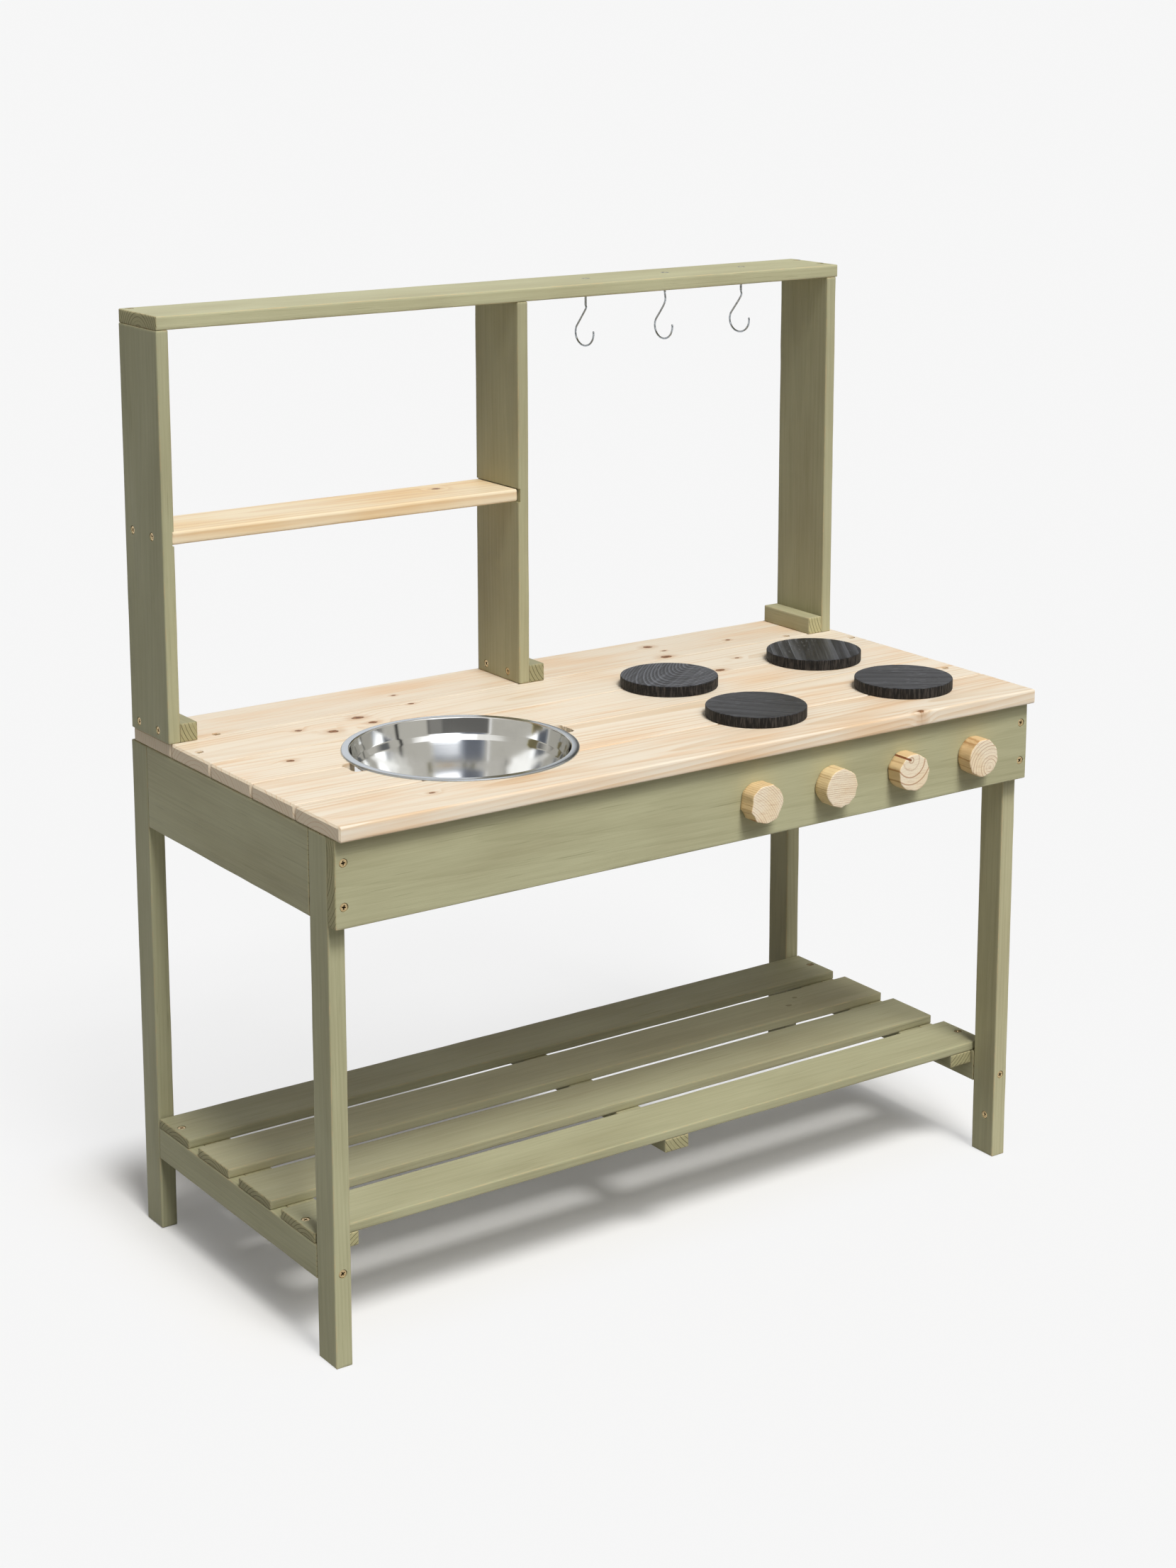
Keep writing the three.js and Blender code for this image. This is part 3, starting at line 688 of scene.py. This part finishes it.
HEAD_RADIUS = 4.2 * MM
HEAD_GAP = 0.45 * MM
HEAD_SUNK = 0.6 * MM
HEAD_SUNK_DEEP = 1.3 * MM
HEAD_TALL = 3.0 * MM
SINK_DEPTH = 4.6 * MM
SHANK_RADIUS = 2.0 * MM
RECESS_ARM = 2.9 * MM
RECESS_HALF = 0.7 * MM
RECESS_DEPTH = 2.0 * MM


def sink_cutter(places, direction):
    """Countersinks for screw heads at the given places, as one cutter."""
    wide = HEAD_RADIUS + HEAD_GAP
    profile = [(0, -SINK_DEPTH), (SHANK_RADIUS, -SINK_DEPTH), (wide, -HEAD_SUNK_DEEP), (wide, CUT_SPARE),
               (0, CUT_SPARE)]
    verts, faces = [], []
    for place in places:
        ring, shape = lathe(profile, segments=24)
        add_part(verts, faces, placed(ring, place, direction), shape)
    return mesh_object("cutter", verts, faces)


def screw_head():
    """A countersunk head with its top at height 0: points, faces, and which points lie in its recess and get
    painted shade.
    """
    dome, edge = 0.05 * MM, 0.25 * MM
    profile = [(0, -HEAD_TALL), (SHANK_RADIUS * 0.9, -HEAD_TALL), (HEAD_RADIUS, -0.5 * MM),
               (HEAD_RADIUS, -0.2 * MM), (HEAD_RADIUS - edge, 0), (HEAD_RADIUS * 0.6, dome), (0, dome)]
    made = mesh_object("head", *lathe(profile, segments=32))
    for long in (0, 1):
        reach = Vector((RECESS_HALF, RECESS_HALF, RECESS_DEPTH))
        reach[long] = RECESS_ARM
        cutter = block_cutter(-reach, Vector((reach.x, reach.y, MM)))
        for v in cutter.data.vertices:
            if v.co.z < 0:
                v.co[long] *= 0.45
        carve(made, cutter)
    finish_mesh(made, crease=25)
    verts = [v.co.copy() for v in made.data.vertices]
    faces = [list(p.vertices) for p in made.data.polygons]
    # The points in the recess, where shade is painted.
    recess_shade = [float(v.z < -edge and v.xy.length < RECESS_ARM) for v in verts]
    bpy.data.objects.remove(made)
    return verts, faces, recess_shade


def screw_group(name, places, direction, material, head):
    """The heads of one board's screws as one object, each turned its own way."""
    verts, faces = [], []
    depth = HEAD_SUNK_DEEP if name.startswith("worktop") else HEAD_SUNK
    for i, place in enumerate(places):
        add_part(verts, faces, placed(head[0], place - direction * depth, direction, 0.5 + 1.9 * i), head[1])
    made = mesh_object(name, verts, faces, material, crease=25)
    store(made, "recess_shade", head[2] * len(places))
    return made


def screw_plan():
    """Where each board is screwed: for each face, the direction of the heads and their places."""
    end_inset, rail_inset, short_inset = 9.5 * MM, 6 * MM, 18 * MM
    leg_screw, foot = 100.5 * MM, 10 * MM
    plan = {}
    for node in ("leg_front_left", "leg_front_right"):
        plan[node] = [(FRONT, [at(node, 0.5, 0, 0) + UP * leg_screw])]
    side_screw = at("leg_front_right", 0, 0, 0) + Vector((0, 15, 47.8)) * MM
    plan["leg_front_right"].append((LEFT, [side_screw]))
    for node in ("slat_1", "slat_4"):
        ends = ((0, end_inset), (1, -end_inset))
        plan[node] = [(UP, [at(node, share, 0.5, 1) + RIGHT * inset for share, inset in ends])]
    for node in ("post_left", "post_middle"):
        levels = [at(node, 0, 0, 0).z + foot]
        if node == "post_left":
            levels.insert(0, at("shelf", 0, 0, 0.5).z)
        spots = [at(node, 0, s, 0) for s in (0.29, 0.80)]
        plan[node] = [(LEFT, [Vector((spot.x, spot.y, z)) for z in levels for spot in spots])]
    rail = [at("top_rail", 0, 0.92, 1) + RIGHT * end_inset]
    rail += [at("top_rail", 1, s, 1) - RIGHT * rail_inset for s in (0.30, 0.80)]
    plan["top_rail"] = [(UP, rail)]
    # A board, the pieces below that its screws meet, its share of depth, and how far off they stand
    for node, below, share, right, back in (("worktop_board_1", "worktop_batten_", 0, 0, 7 * MM),
                                            ("worktop_board_2", "upper_side_rail_", 0.5, MM, 0)):
        top = at(node, 0, share, 1)
        xs = [at(below + side, 0.5, 0, 0).x + right for side in ("left", "right")]
        plan[node] = [(UP, [Vector((x, top.y + back, top.z)) for x in xs])]
    node = "worktop_board_4_right"
    plan[node] = [(UP, [at(node, 1, 0.5, 1) - RIGHT * short_inset])]
    return plan


def apron_place(number):
    """Where an apron screw goes into the front of the apron."""
    place = at(f"apron_screw_{number}", 0.5, 0, 0.5)
    place.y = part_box("front_apron")[0].y
    return place


def apron_screw(number, material, head):
    """A countersunk screw through the apron into its leg."""
    node = f"apron_screw_{number}"
    centre = apron_place(number) + BACK * HEAD_SUNK
    points, faces = placed(head[0], centre, FRONT, 0.35 + 1.3 * number), list(head[1])
    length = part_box(node)[1].y - centre.y - HEAD_TALL
    core = [(0, 0), (SHANK_RADIUS * 0.85, 0), (SHANK_RADIUS * 0.85, length * 0.8), (0, length)]
    rod, sides = lathe(core, segments=16)
    add_part(points, faces, placed(rod, centre + BACK * (HEAD_TALL - 0.1 * MM), BACK), sides)
    made = mesh_object(node + "_steel", points, faces, material, crease=30)
    store(made, "recess_shade", head[2] + [0.0] * len(rod))
    stand_in(made, node)


def knob_screw(number, material):
    """The pan-headed screw behind a knob, its head against the back of the apron."""
    node = f"knob_screw_{number}"
    size, centre = size_of(node), at(node, 0.5, 1, 0.5)
    radius, thick, shank, soft = size.x / 2, 2.6 * MM, 1.9 * MM, 1.6 * MM
    profile = [(0, -size.y), (shank, -size.y), (shank, -thick), (radius, -thick)]
    profile += fillet([(radius, -thick), (radius, 0), (0, 0)], soft, 5)[1:]
    made = lathed(node + "_steel", centre, profile, segments=32, direction=BACK)
    for wide, tall in ((RECESS_ARM, RECESS_HALF), (RECESS_HALF, RECESS_ARM)):
        reach = Vector((wide, 0, tall))
        carve(made, block_cutter(centre - reach - BACK * RECESS_DEPTH, centre + reach + BACK * MM))
    finish_mesh(made, material)
    stand_in(made, node)


# Round pieces

def fillet(points, radius, steps=3):
    """The outline with each inner corner replaced by a short arc."""
    made = [points[0]]
    for before, corner, after in zip(points, points[1:], points[2:]):
        a, b, c = Vector(before), Vector(corner), Vector(after)
        reach = min(radius, (a - b).length * 0.45, (c - b).length * 0.45)
        start, end = b + (a - b).normalized() * reach, b + (c - b).normalized() * reach
        for i in range(steps + 1):
            t = i / steps
            made.append(tuple((1 - t) ** 2 * start + 2 * t * (1 - t) * b + t * t * end))
    return made + [points[-1]]


def arc(centre, radius, start, end, steps):
    """Points of an arc in the plane of the profile, angles in degrees."""
    turns = [math.radians(start + (end - start) * i / steps) for i in range(steps + 1)]
    return [(centre[0] + radius * math.cos(t), centre[1] + radius * math.sin(t)) for t in turns]


def smooth_route(points, steps):
    """A Catmull-Rom curve through the points."""
    padded = [points[0] * 2 - points[1]] + points + [points[-1] * 2 - points[-2]]
    made = []
    for a, b, c, d in zip(padded, padded[1:], padded[2:], padded[3:]):
        for i in range(steps):
            t = i / steps
            made.append(0.5 * (2 * b + (c - a) * t + (2 * a - 5 * b + 4 * c - d) * t * t
                               + (3 * b - a - 3 * c + d) * t ** 3))
    return made + [points[-1]]


def bowl(material):
    """The sink bowl: tapered drawn sheet with a ledge below the rim and a rolled edge."""
    size, sheet, roll, mouth = size_of("sink_bowl"), 1.0 * MM, 1.6 * MM, 115.4 * MM
    depth, edge = size.z - sheet, size.x / 2 - roll
    ledge = [(108.9 * MM, -24.5 * MM), (112.0 * MM, -17.5 * MM)]
    # Radius of the wall and its height from the rim, in millimetres
    wall = [(74, -91.5), (86, -84), (94.5, -72), (99.6, -58), (103.6, -43)]
    floor_radius = 55 * MM
    route = [Vector((floor_radius, -depth, 0))] + [Vector((r, z, 0)) * MM for r, z in wall]
    route = smooth_route(route + [Vector((*ledge[0], 0))], 4)
    curve = [(p.x, max(p.y, -depth)) for p in route]
    inner = [(0, -depth), (30 * MM, -depth)] + curve[:-1]
    inner += fillet([curve[-2], ledge[0], ledge[1], (mouth, -roll)], 1.1 * MM)[1:]
    inner += arc((mouth + roll, -roll), roll, 172, 90, 5)[1:]
    inner += [(edge - 2 * MM, 0)] + arc((edge, -roll), roll, 90, -60, 8)
    inner += [(edge - 0.2 * MM, -roll - sheet), (edge - 0.9 * MM, -sheet - 0.2 * MM)]
    outer = [(mouth + roll, -sheet), (mouth + sheet, -roll - sheet)]
    outer += [(r + sheet, z - 0.4 * MM) for r, z in reversed(ledge)]
    outer += [(r + sheet * 0.9, z - sheet * 0.45) for r, z in reversed(curve[1:-1])]
    outer += [(50 * MM, -depth - sheet), (0, -depth - sheet)]
    top = at("sink_bowl", 0.5, 0.5, 1)
    made = lathed("sink_bowl_sheet", top, inner + outer, segments=144, material=material, crease=50)
    stand_in(made, "sink_bowl")


def hob(number, material, heading, pith, lean, growth, wear_and_sheen):
    """A sawn disc: eased rim, saw ridges round its side, grain running its own way."""
    node = f"hob_disc_{number}"
    size, centre = size_of(node), at(node, 0.5, 0.5, 0)
    radius, height, ease = size.x / 2, size.z, 1.1 * MM
    seed = plank_number(node)
    slow_wave, saw_wave, sag_wave, deepest = 24 * MM, 30 * MM, 26 * MM, 1.1 * MM
    profile = [(0, 0), (radius * 0.6, 0), (radius - ease, 0)]
    profile += [(radius - ease * 0.3, ease * 0.3), (radius, ease)]
    profile += [(radius, ease + (height - 2 * ease) * i / 4) for i in range(1, 5)]
    profile += arc((radius - ease, height - ease), ease, 15, 90, 4)
    profile += [(radius * s, height) for s in (0.93, 0.8, 0.6, 0.4, 0.2)] + [(0, height)]

    def sawn(turn, r, z):
        spot = level_way(turn) * radius
        slow = noise.noise(spot / slow_wave + Vector((seed, 0, 0)))
        ridge = abs(noise.noise(Vector((turn * 30, seed, z / saw_wave))))
        bite = (0.15 + 0.3 * max(0, -slow) + 1.8 * ridge * max(0, slow + 0.15)) * MM * (r / radius) ** 8
        sag = 0.16 * MM * (0.5 + 0.5 * noise.noise(spot * r / radius / sag_wave + Vector((seed, 3, 0))))
        return r - min(bite, deepest), z - (sag if z > height / 2 else 0)

    made = lathed(node + "_disc", centre, profile, 360, None, sawn, material, crease=60)
    along, across = level_way(math.radians(heading)), level_way(math.radians(heading + 90))
    x, y, z = (points_of(made) - np.array(centre)).T
    rim = np.clip(1 - np.maximum(radius - np.hypot(x, y), height - z) / (2 * MM), 0, 1)
    mark_grain(made, (along, across, UP), centre + UP * height, seed, pith, lean, rim, growth)
    # The disc's share of wear and of painted sheen.
    store(made, "wear_and_sheen", wear_and_sheen)
    side = np.array([p.normal.xy.length for p in made.data.polygons], np.float32)
    made.data.attributes["butt"].data.foreach_set("value", np.clip(side * 1.4 - 0.3, 0, 1))
    stand_in(made, node)


def knob(number, material, pith, growth, resin):
    """A knob cut from a round rod: not quite round, its end grain facing forward."""
    node = f"knob_{number}"
    size, centre = size_of(node), at(node, 0.5, 1, 0.5)
    radius, length, ease = size.x / 2, size.y, 1.3 * MM
    seed = plank_number(node)
    flat_most, facet_most, chip_most = 3.2 * MM, 0.3 * MM, 0.5 * MM
    profile = [(0, 0), (radius * 0.8, 0), (radius - ease, 0), (radius, ease)]
    profile += [(radius, ease + (length - 2 * ease) * i / 5) for i in range(1, 6)]
    profile += arc((radius - ease, length - ease), ease, 20, 90, 4)
    profile += [(radius * s / 7, length) for s in range(6, 0, -1)] + [(0, length)]

    def cut(turn, r, z):
        spot = Vector((math.cos(turn) * 1.6, math.sin(turn) * 1.6, seed * 3.1))
        flat = abs(noise.noise(spot)) * flat_most
        facet = abs(math.sin(turn * 4.5 + seed)) * facet_most
        chip = abs(noise.noise(Vector((turn * 9, z / (6 * MM), seed)))) * chip_most
        return r - (flat + facet + chip) * (r / radius) ** 4, z

    made = lathed(node + "_turned", centre, profile, 144, FRONT, cut, material, crease=50)
    mark_grain(made, (BACK, RIGHT, UP), centre, seed, pith, lean=(0.03, 0.02), growth=growth)
    store(made, "resin", resin)
    stand_in(made, node)


# Hooks

def sweep(points, radius_at, sides):
    """Points and faces of a rod along the given points; radius_at(index, turn) may wind a thread."""
    verts, side, last = [], RIGHT, len(points) - 1
    for i, point in enumerate(points):
        ahead = (points[min(i + 1, last)] - points[max(i - 1, 0)]).normalized()
        side = (side - ahead * side.dot(ahead)).normalized()
        other = ahead.cross(side)
        for k in range(sides):
            turn = 2 * math.pi * k / sides
            verts.append(point + (side * math.cos(turn) + other * math.sin(turn)) * radius_at(i, turn))
    rings = [list(range(i * sides, (i + 1) * sides)) for i in range(last + 1)]
    return verts, bands(rings) + [rings[0][::-1], rings[-1]]


def hook(number, thread_out, turn, material):
    """A hook bent from wire: threaded shank in its sleeve, straight neck, open loop."""
    node = f"hook_{number}"
    top = at(f"hook_sleeve_{number}", 0.5, 0.5, 0)
    wire, thread, pitch, thread_in = 1.1 * MM, 1.5 * MM, 0.9 * MM, 10 * MM
    neck, loop, loop_y, loop_z, tip_drop = -20.5 * MM, 14.65 * MM, 1.85 * MM, -48.35 * MM, 3.2 * MM
    loop_start, loop_end = 35.5, -180 - math.degrees(math.asin(tip_drop / loop))
    bend = [Vector((0, 0, z)) for z in (-thread_out - 0.5 * MM, min(neck, -thread_out - 2 * MM))]
    bend += [Vector((0, y, z)) for y, z in arc((loop_y, loop_z), loop, loop_start, loop_end, 16)]
    step = pitch / 6
    count = int((thread_in + thread_out) / step)
    shank = [Vector((0, 0, thread_in - step * i)) for i in range(count)]
    spin = Matrix.Rotation(math.radians(turn), 3, "Z")
    points = [top + spin @ p for p in shank + smooth_route(bend, 5)]
    last = len(points) - 1

    def thickness(i, around):
        if i < count:
            rise = abs(((i * step / pitch + around / (2 * math.pi)) % 1) * 2 - 1)
            return thread * (0.8 + 0.2 * rise) * (0.75 if i == 0 else 1)
        return wire * (0.55 if i == last else 0.9 if i == last - 1 else 1)

    made = mesh_object(node + "_wire", *sweep(points, thickness, sides=14), material, crease=60)
    stand_in(made, node)


def sleeve(number, material):
    """The pronged insert nut that a hook screws into: a thin flange with its prongs' windows."""
    node = f"hook_sleeve_{number}"
    size, centre = size_of(node), at(node, 0.5, 0.5, 1)
    radius, body, bore, flange = size.x / 2, 2.9 * MM, 1.7 * MM, 1.2 * MM
    depth, soft, lead, window = size.z, 0.3 * MM, 0.5 * MM, 1.25 * MM
    profile = [(bore, -depth), (body, -depth), (body, -flange), (radius, -flange), (radius, -soft)]
    profile += [(radius - soft, 0), (bore + lead, 0), (bore, -lead), (bore, -depth)]
    made = lathed(node + "_nut", centre, profile, segments=48)
    pin = [(0, -2 * flange), (window, -2 * flange), (window, MM), (0, MM)]
    for i in range(4):
        turn = math.radians(90 * i + 25 * number)
        spot = centre + level_way(turn) * (radius - 1.1 * MM)
        carve(made, lathed("cutter", spot, pin, segments=12))
    finish_mesh(made, material)
    stand_in(made, node)


# Cut-outs

def bowl_hole():
    """The bowl's hole, uneven as a jigsaw leaves it, with the two rough notches for lifting it."""
    board, centre = "worktop_board_4_left", at("sink_bowl", 0.5, 0.5, 0)
    centre.z = at(board, 0, 0, 0).z - CUT_SPARE
    radius, half, corner = 118.8 * MM, 16.4 * MM, 6 * MM
    reach = size_of("sink_bowl").x / 2 + 11 * MM
    tall = size_of(board).z + 2 * CUT_SPARE
    levels = 9

    def sawn(turn, r, z):
        if r == 0:
            return r, z
        x, y = abs(math.cos(turn)), abs(math.sin(turn))
        side = 1 if math.cos(turn) > 0 else -1
        rough = 1.1 * MM * noise.noise(Vector((turn * 34, z / (5 * MM), side * 5)))
        rough += 0.9 * MM * noise.noise(Vector((turn * 14, z / (14 * MM), side * 3)))
        past = max(0.0, reach * y / x - half + corner) if x > 0.9 else corner
        end = reach - corner + math.sqrt(max(0.0, corner ** 2 - min(past, corner) ** 2))
        notch = min(end / max(x, 0.01), half / max(y, 0.001))
        round_part = radius + 0.5 * MM * noise.noise(Vector((turn * 7, 4.2, 0)))
        return max(round_part, notch + rough), z

    profile = [(0, 0)] + [(radius, tall * i / levels) for i in range(levels + 1)] + [(0, tall)]
    return lathed("cutter", centre, profile, 720, wobble=sawn)


def shelf_groove(post):
    """The groove in a post that the shelf's end sits in."""
    shelf_low, shelf_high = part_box("shelf")
    post_low, post_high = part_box(post)
    slack = Vector((0.3, 0, 0.9)) * MM
    near = Vector((shelf_low.x, post_low.y - CUT_SPARE, shelf_low.z)) - slack
    far = Vector((shelf_high.x, post_high.y + CUT_SPARE, shelf_high.z)) + slack
    return block_cutter(near, far)


# Studio

def camera():
    """The photograph's viewpoint. The frame is 1659 by 2212, and shifts are shares of 2212."""
    data = bpy.data.cameras.new("camera")
    data.sensor_width, data.lens = 36.0, 63.46
    data.shift_x, data.shift_y = -0.0065, -0.160
    data.clip_start, data.clip_end = 0.1, 2000
    made = new_object("camera", data)
    made.location = (-1.687, -2.411, 1.358)
    made.rotation_euler = (math.radians(90 - 11.402), 0, math.radians(-35.033))
    bpy.context.scene.camera = made


def sun(name, direction, strength, spread):
    """A far lamp that shines from a direction, with soft shadows; mirrors don't show it."""
    data = bpy.data.lights.new(name, "SUN")
    data.energy = strength * math.pi
    data.angle = math.radians(spread)
    made = new_object(name, data)
    made.rotation_euler = Vector(direction).to_track_quat("Z", "Y").to_euler()
    made.visible_glossy = False


# What the bowl mirrors, each patch laid over the ones before it: its turns and rises and the width of
# its soft edge in degrees, and its colour
MIRROR_PATCHES = (
    ((-290, 75), (0, 27), 1.0, (0.52, 0.505, 0.46)),
    ((-290, 75), (27, 70), 2.0, (0.72, 0.70, 0.66)),
    ((-153, -88), (-5, 12), 2.0, (0.13, 0.128, 0.122)),
    ((-104, -90), (-5, 12), 3.0, (0.24, 0.235, 0.22)),
    ((-151, -92), (13.5, 27), 4.0, (0.25, 0.28, 0.34)),
    ((-147, -128), (13, 27), 4.0, (0.13, 0.145, 0.18)),
    ((-122, -90), (17, 27), 7.0, (2.4, 2.45, 2.55)),
    ((-143, -66), (27, 70), 2.0, (1.5, 1.5, 1.5)),
    ((-175, -143), (27, 70), 3.0, (1.0, 0.99, 0.96)),
    ((-156, -154), (-5, 27), 1.5, (1.0, 1.0, 1.0)),
    ((-54, -50), (-5, 70), 1.5, (0.02, 0.02, 0.02)),
    ((-36, -13), (15, 22), 2.5, (0.13, 0.135, 0.14)),
    ((-264, -232), (-5, 10), 4.0, (0.16, 0.15, 0.13)),
    ((-250, -217), (14, 26), 4.0, (0.10, 0.10, 0.10)),
    ((0, 56), (12, 29), 2.0, (0.0, 0.0, 0.0)),
    ((56.5, 80), (11, 29), 1.5, (1.05, 1.08, 1.12)),
    ((-290, -270), (12, 27), 3.0, (1.0, 1.02, 1.05)),
)
PLAIN_MIRRORED = Vector((0.93, 0.93, 0.93))


def patch_share(place, span, soft):
    """1 inside a span, 0 outside it, with an even ramp over its soft edge."""
    inside = min(place - span[0], span[1] - place) / soft + 0.5
    return min(1.0, max(0.0, inside))


def mirror_dome():
    """A screen far round the object, seen by mirrors only, in place of walls and windows."""
    far, level, step = 9.0, 0.57, 1.5
    turns = [-290 + step * i for i in range(240)]
    rises = [step * j for j in range(44)]
    verts, glow = [], []
    for turn in turns:
        for rise in rises:
            flat = math.cos(math.radians(rise)) * far
            x, y = flat * math.cos(math.radians(turn)), flat * math.sin(math.radians(turn))
            verts.append((x, y, math.sin(math.radians(rise)) * far + level))
            colour = PLAIN_MIRRORED
            for over, up, soft, shade in MIRROR_PATCHES:
                share = patch_share(turn, over, soft) * patch_share(rise, up, min(soft, 3.0))
                colour = colour.lerp(Vector(shade), share)
            glow.append(list(colour))
    rows = len(rises)
    starts = [i * rows + j for i in range(len(turns) - 1) for j in range(rows - 1)]
    faces = [(a, a + 1, a + rows + 1, a + rows) for a in starts]
    made = mesh_object("mirror_dome", verts, faces, dome_material())
    store(made, "glow", glow)
    for ray in ("camera", "diffuse", "shadow", "transmission"):
        setattr(made, "visible_" + ray, False)


def studio():
    """The floor, two soft lamps, the screen for mirrors, and a faint light all round."""
    half = 400.0
    verts = [(x * half, y * half, 0) for x, y in ((-1, -1), (1, -1), (1, 1), (-1, 1))]
    floor = mesh_object("floor", verts, [(0, 1, 2, 3)], floor_material())
    floor.location.z = -0.3 * MM
    sun("key_lamp", (-0.05, -0.56, 0.97), strength=0.67, spread=17)
    sun("fill_lamp", (0, -0.70, 0.74), strength=0.30, spread=30)
    mirror_dome()
    world = bpy.data.worlds.new("studio")
    bpy.context.scene.world = world
    g = Graph(world, "Background")
    ambient, background = 0.172, 0.93
    g.feed("Color", grey(1.0))
    g.feed("Strength", g.span(g.seen(), 0, 1, ambient, background, "LINEAR"))


# Assembly

# Knots on the upper faces of boards, in millimetres: to the right of and behind the middle, and size
KNOTS = {
    "worktop_board_1": ((-155.2, 172.7, 2.2), (211.0, 192.5, 4.5), (216.5, 166.9, 2.2),
                        (201.0, 141.5, 5.5), (311.5, 166.7, 2.5)),
    "worktop_board_2": ((-158.1, 131.0, 2.8), (-236.0, 113.3, 5.2), (-231.7, 87.5, 3.8),
                        (-284.9, 80.5, 4.6), (-314.1, 104.1, 3.2), (266.0, 89.3, 2.4),
                        (214.2, 54.4, 4.6)),
    "worktop_board_3_left": ((-376.9, 7.0, 3.6),),
    "worktop_board_5": ((283.0, -216.0, 3.4), (-317.4, -172.3, 2.6)),
    "shelf": ((-86.0, 190.0, 3.6),),
    "slat_2": ((330.0, 62.0, 3.0), (352.0, 78.0, 2.4)),
}


def knot_places(kind):
    """The knots of all boards of a kind, each as a place in its board's own log and a size."""
    made = []
    for node in KNOTS:
        if node.startswith(kind):
            axes, centre = board_frame(*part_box(node))
            for x, y, size in KNOTS[node]:
                offset = Vector((x, y, 0)) * MM - centre
                along = offset.dot(axes[0]) + LOG_GAP * plank_number(node)
                made.append(((along, offset.dot(axes[1]), 0), size * MM))
    return made


def main():
    scene = bpy.context.scene
    scene.view_settings.view_transform = "Standard"
    camera()
    studio()
    ends = ("ffecce", "e4bf92")
    woods = {
        "sage_stained_wood": sage_material(knot_places("slat")),
        "worktop_wood": pale_material("worktop_wood", ("f8ebd6", "e2c297", "fae2c8"), ends, 4.6 * MM,
                                      knot_places("worktop")),
        "pine_wood": pale_material("pine_wood", ("f7e6c6", "e2bf90", "f8e0b8"), ends, 6.5 * MM,
                                   knot_places("shelf")),
        "batten": pale_material("batten_wood", ("ecd6b0", "c9a673", "f0d8b8"), ("ecd6b0", "c39c6c"),
                                4.0 * MM),
    }
    charred = charred_material()
    turned = knob_material()
    brass = metal_material("yellow_zinc_steel", ("cdb78c", "a88a60"), 0.6, 0.3, 0.2, 700)
    zinc = metal_material("zinc_plated_steel", ("bdc2c6", "858b91"), 0.7, 0.2, 0.14, 600)
    steel = bowl_material(at("sink_bowl", 0.5, 0.5, 1), rim_radius=117 * MM)

    head = screw_head()
    plan = screw_plan()
    holes = {node: [sink_cutter(places, direction) for direction, places in faces]
             for node, faces in plan.items()}
    holes["front_apron"] = [sink_cutter([apron_place(i) for i in range(1, 5)], FRONT)]
    for node in ("post_left", "post_middle"):
        holes[node].append(shelf_groove(node))
    for board in ("2", "3_left", "3_right", "4_left", "4_right", "5"):
        holes.setdefault("worktop_board_" + board, []).append(bowl_hole())
    for node in NODES:
        wood = "batten" if "batten" in node else SLOT_OF[node]
        if wood in woods:
            timber(node, woods[wood], holes.get(node, ()))

    for node, faces in plan.items():
        for i, (direction, places) in enumerate(faces):
            group = screw_group(f"{node}_screws_{i + 1}", places, direction, brass, head)
            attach(group, "kitchen_frame")

    bowl(steel)
    # Each disc's number, heading of its grain, place of its pith, lean of its pith, growth, and its share of
    # wear and painted sheen
    discs = ((1, 34, (-12, -30), (0.0, -0.33), 1.15, 1.0), (2, 56, (0, -46), (0.0, 0.0), 0.42, 0.45),
             (3, -50, (80, -10), (0.03, 0.04), 1.1, 0.55), (4, -36, (70, -30), (0.02, 0.02), 1.2, 0.7))
    for number, *figure in discs:
        hob(number, charred, *figure)
    # Each knob's number, place of its pith, growth and whether it has the resin pocket
    knobs = ((1, (-44, -40), 0.95, 0), (2, (-40, -400), 1.0, 0), (3, (-5, 15), 0.28, 1),
             (4, (8.8, -12.5), 0.6, 0))
    for number, *figure in knobs:
        knob(number, turned, *figure)
        knob_screw(number, zinc)
        apron_screw(number, brass, head)
    # Each hook's number, length of thread below the rail, and turn
    for number, thread_out, turn in ((1, 16.4, 10), (2, 8.2, 8), (3, 13.6, 14)):
        hook(number, thread_out * MM, turn, zinc)
        sleeve(number, zinc)


main()
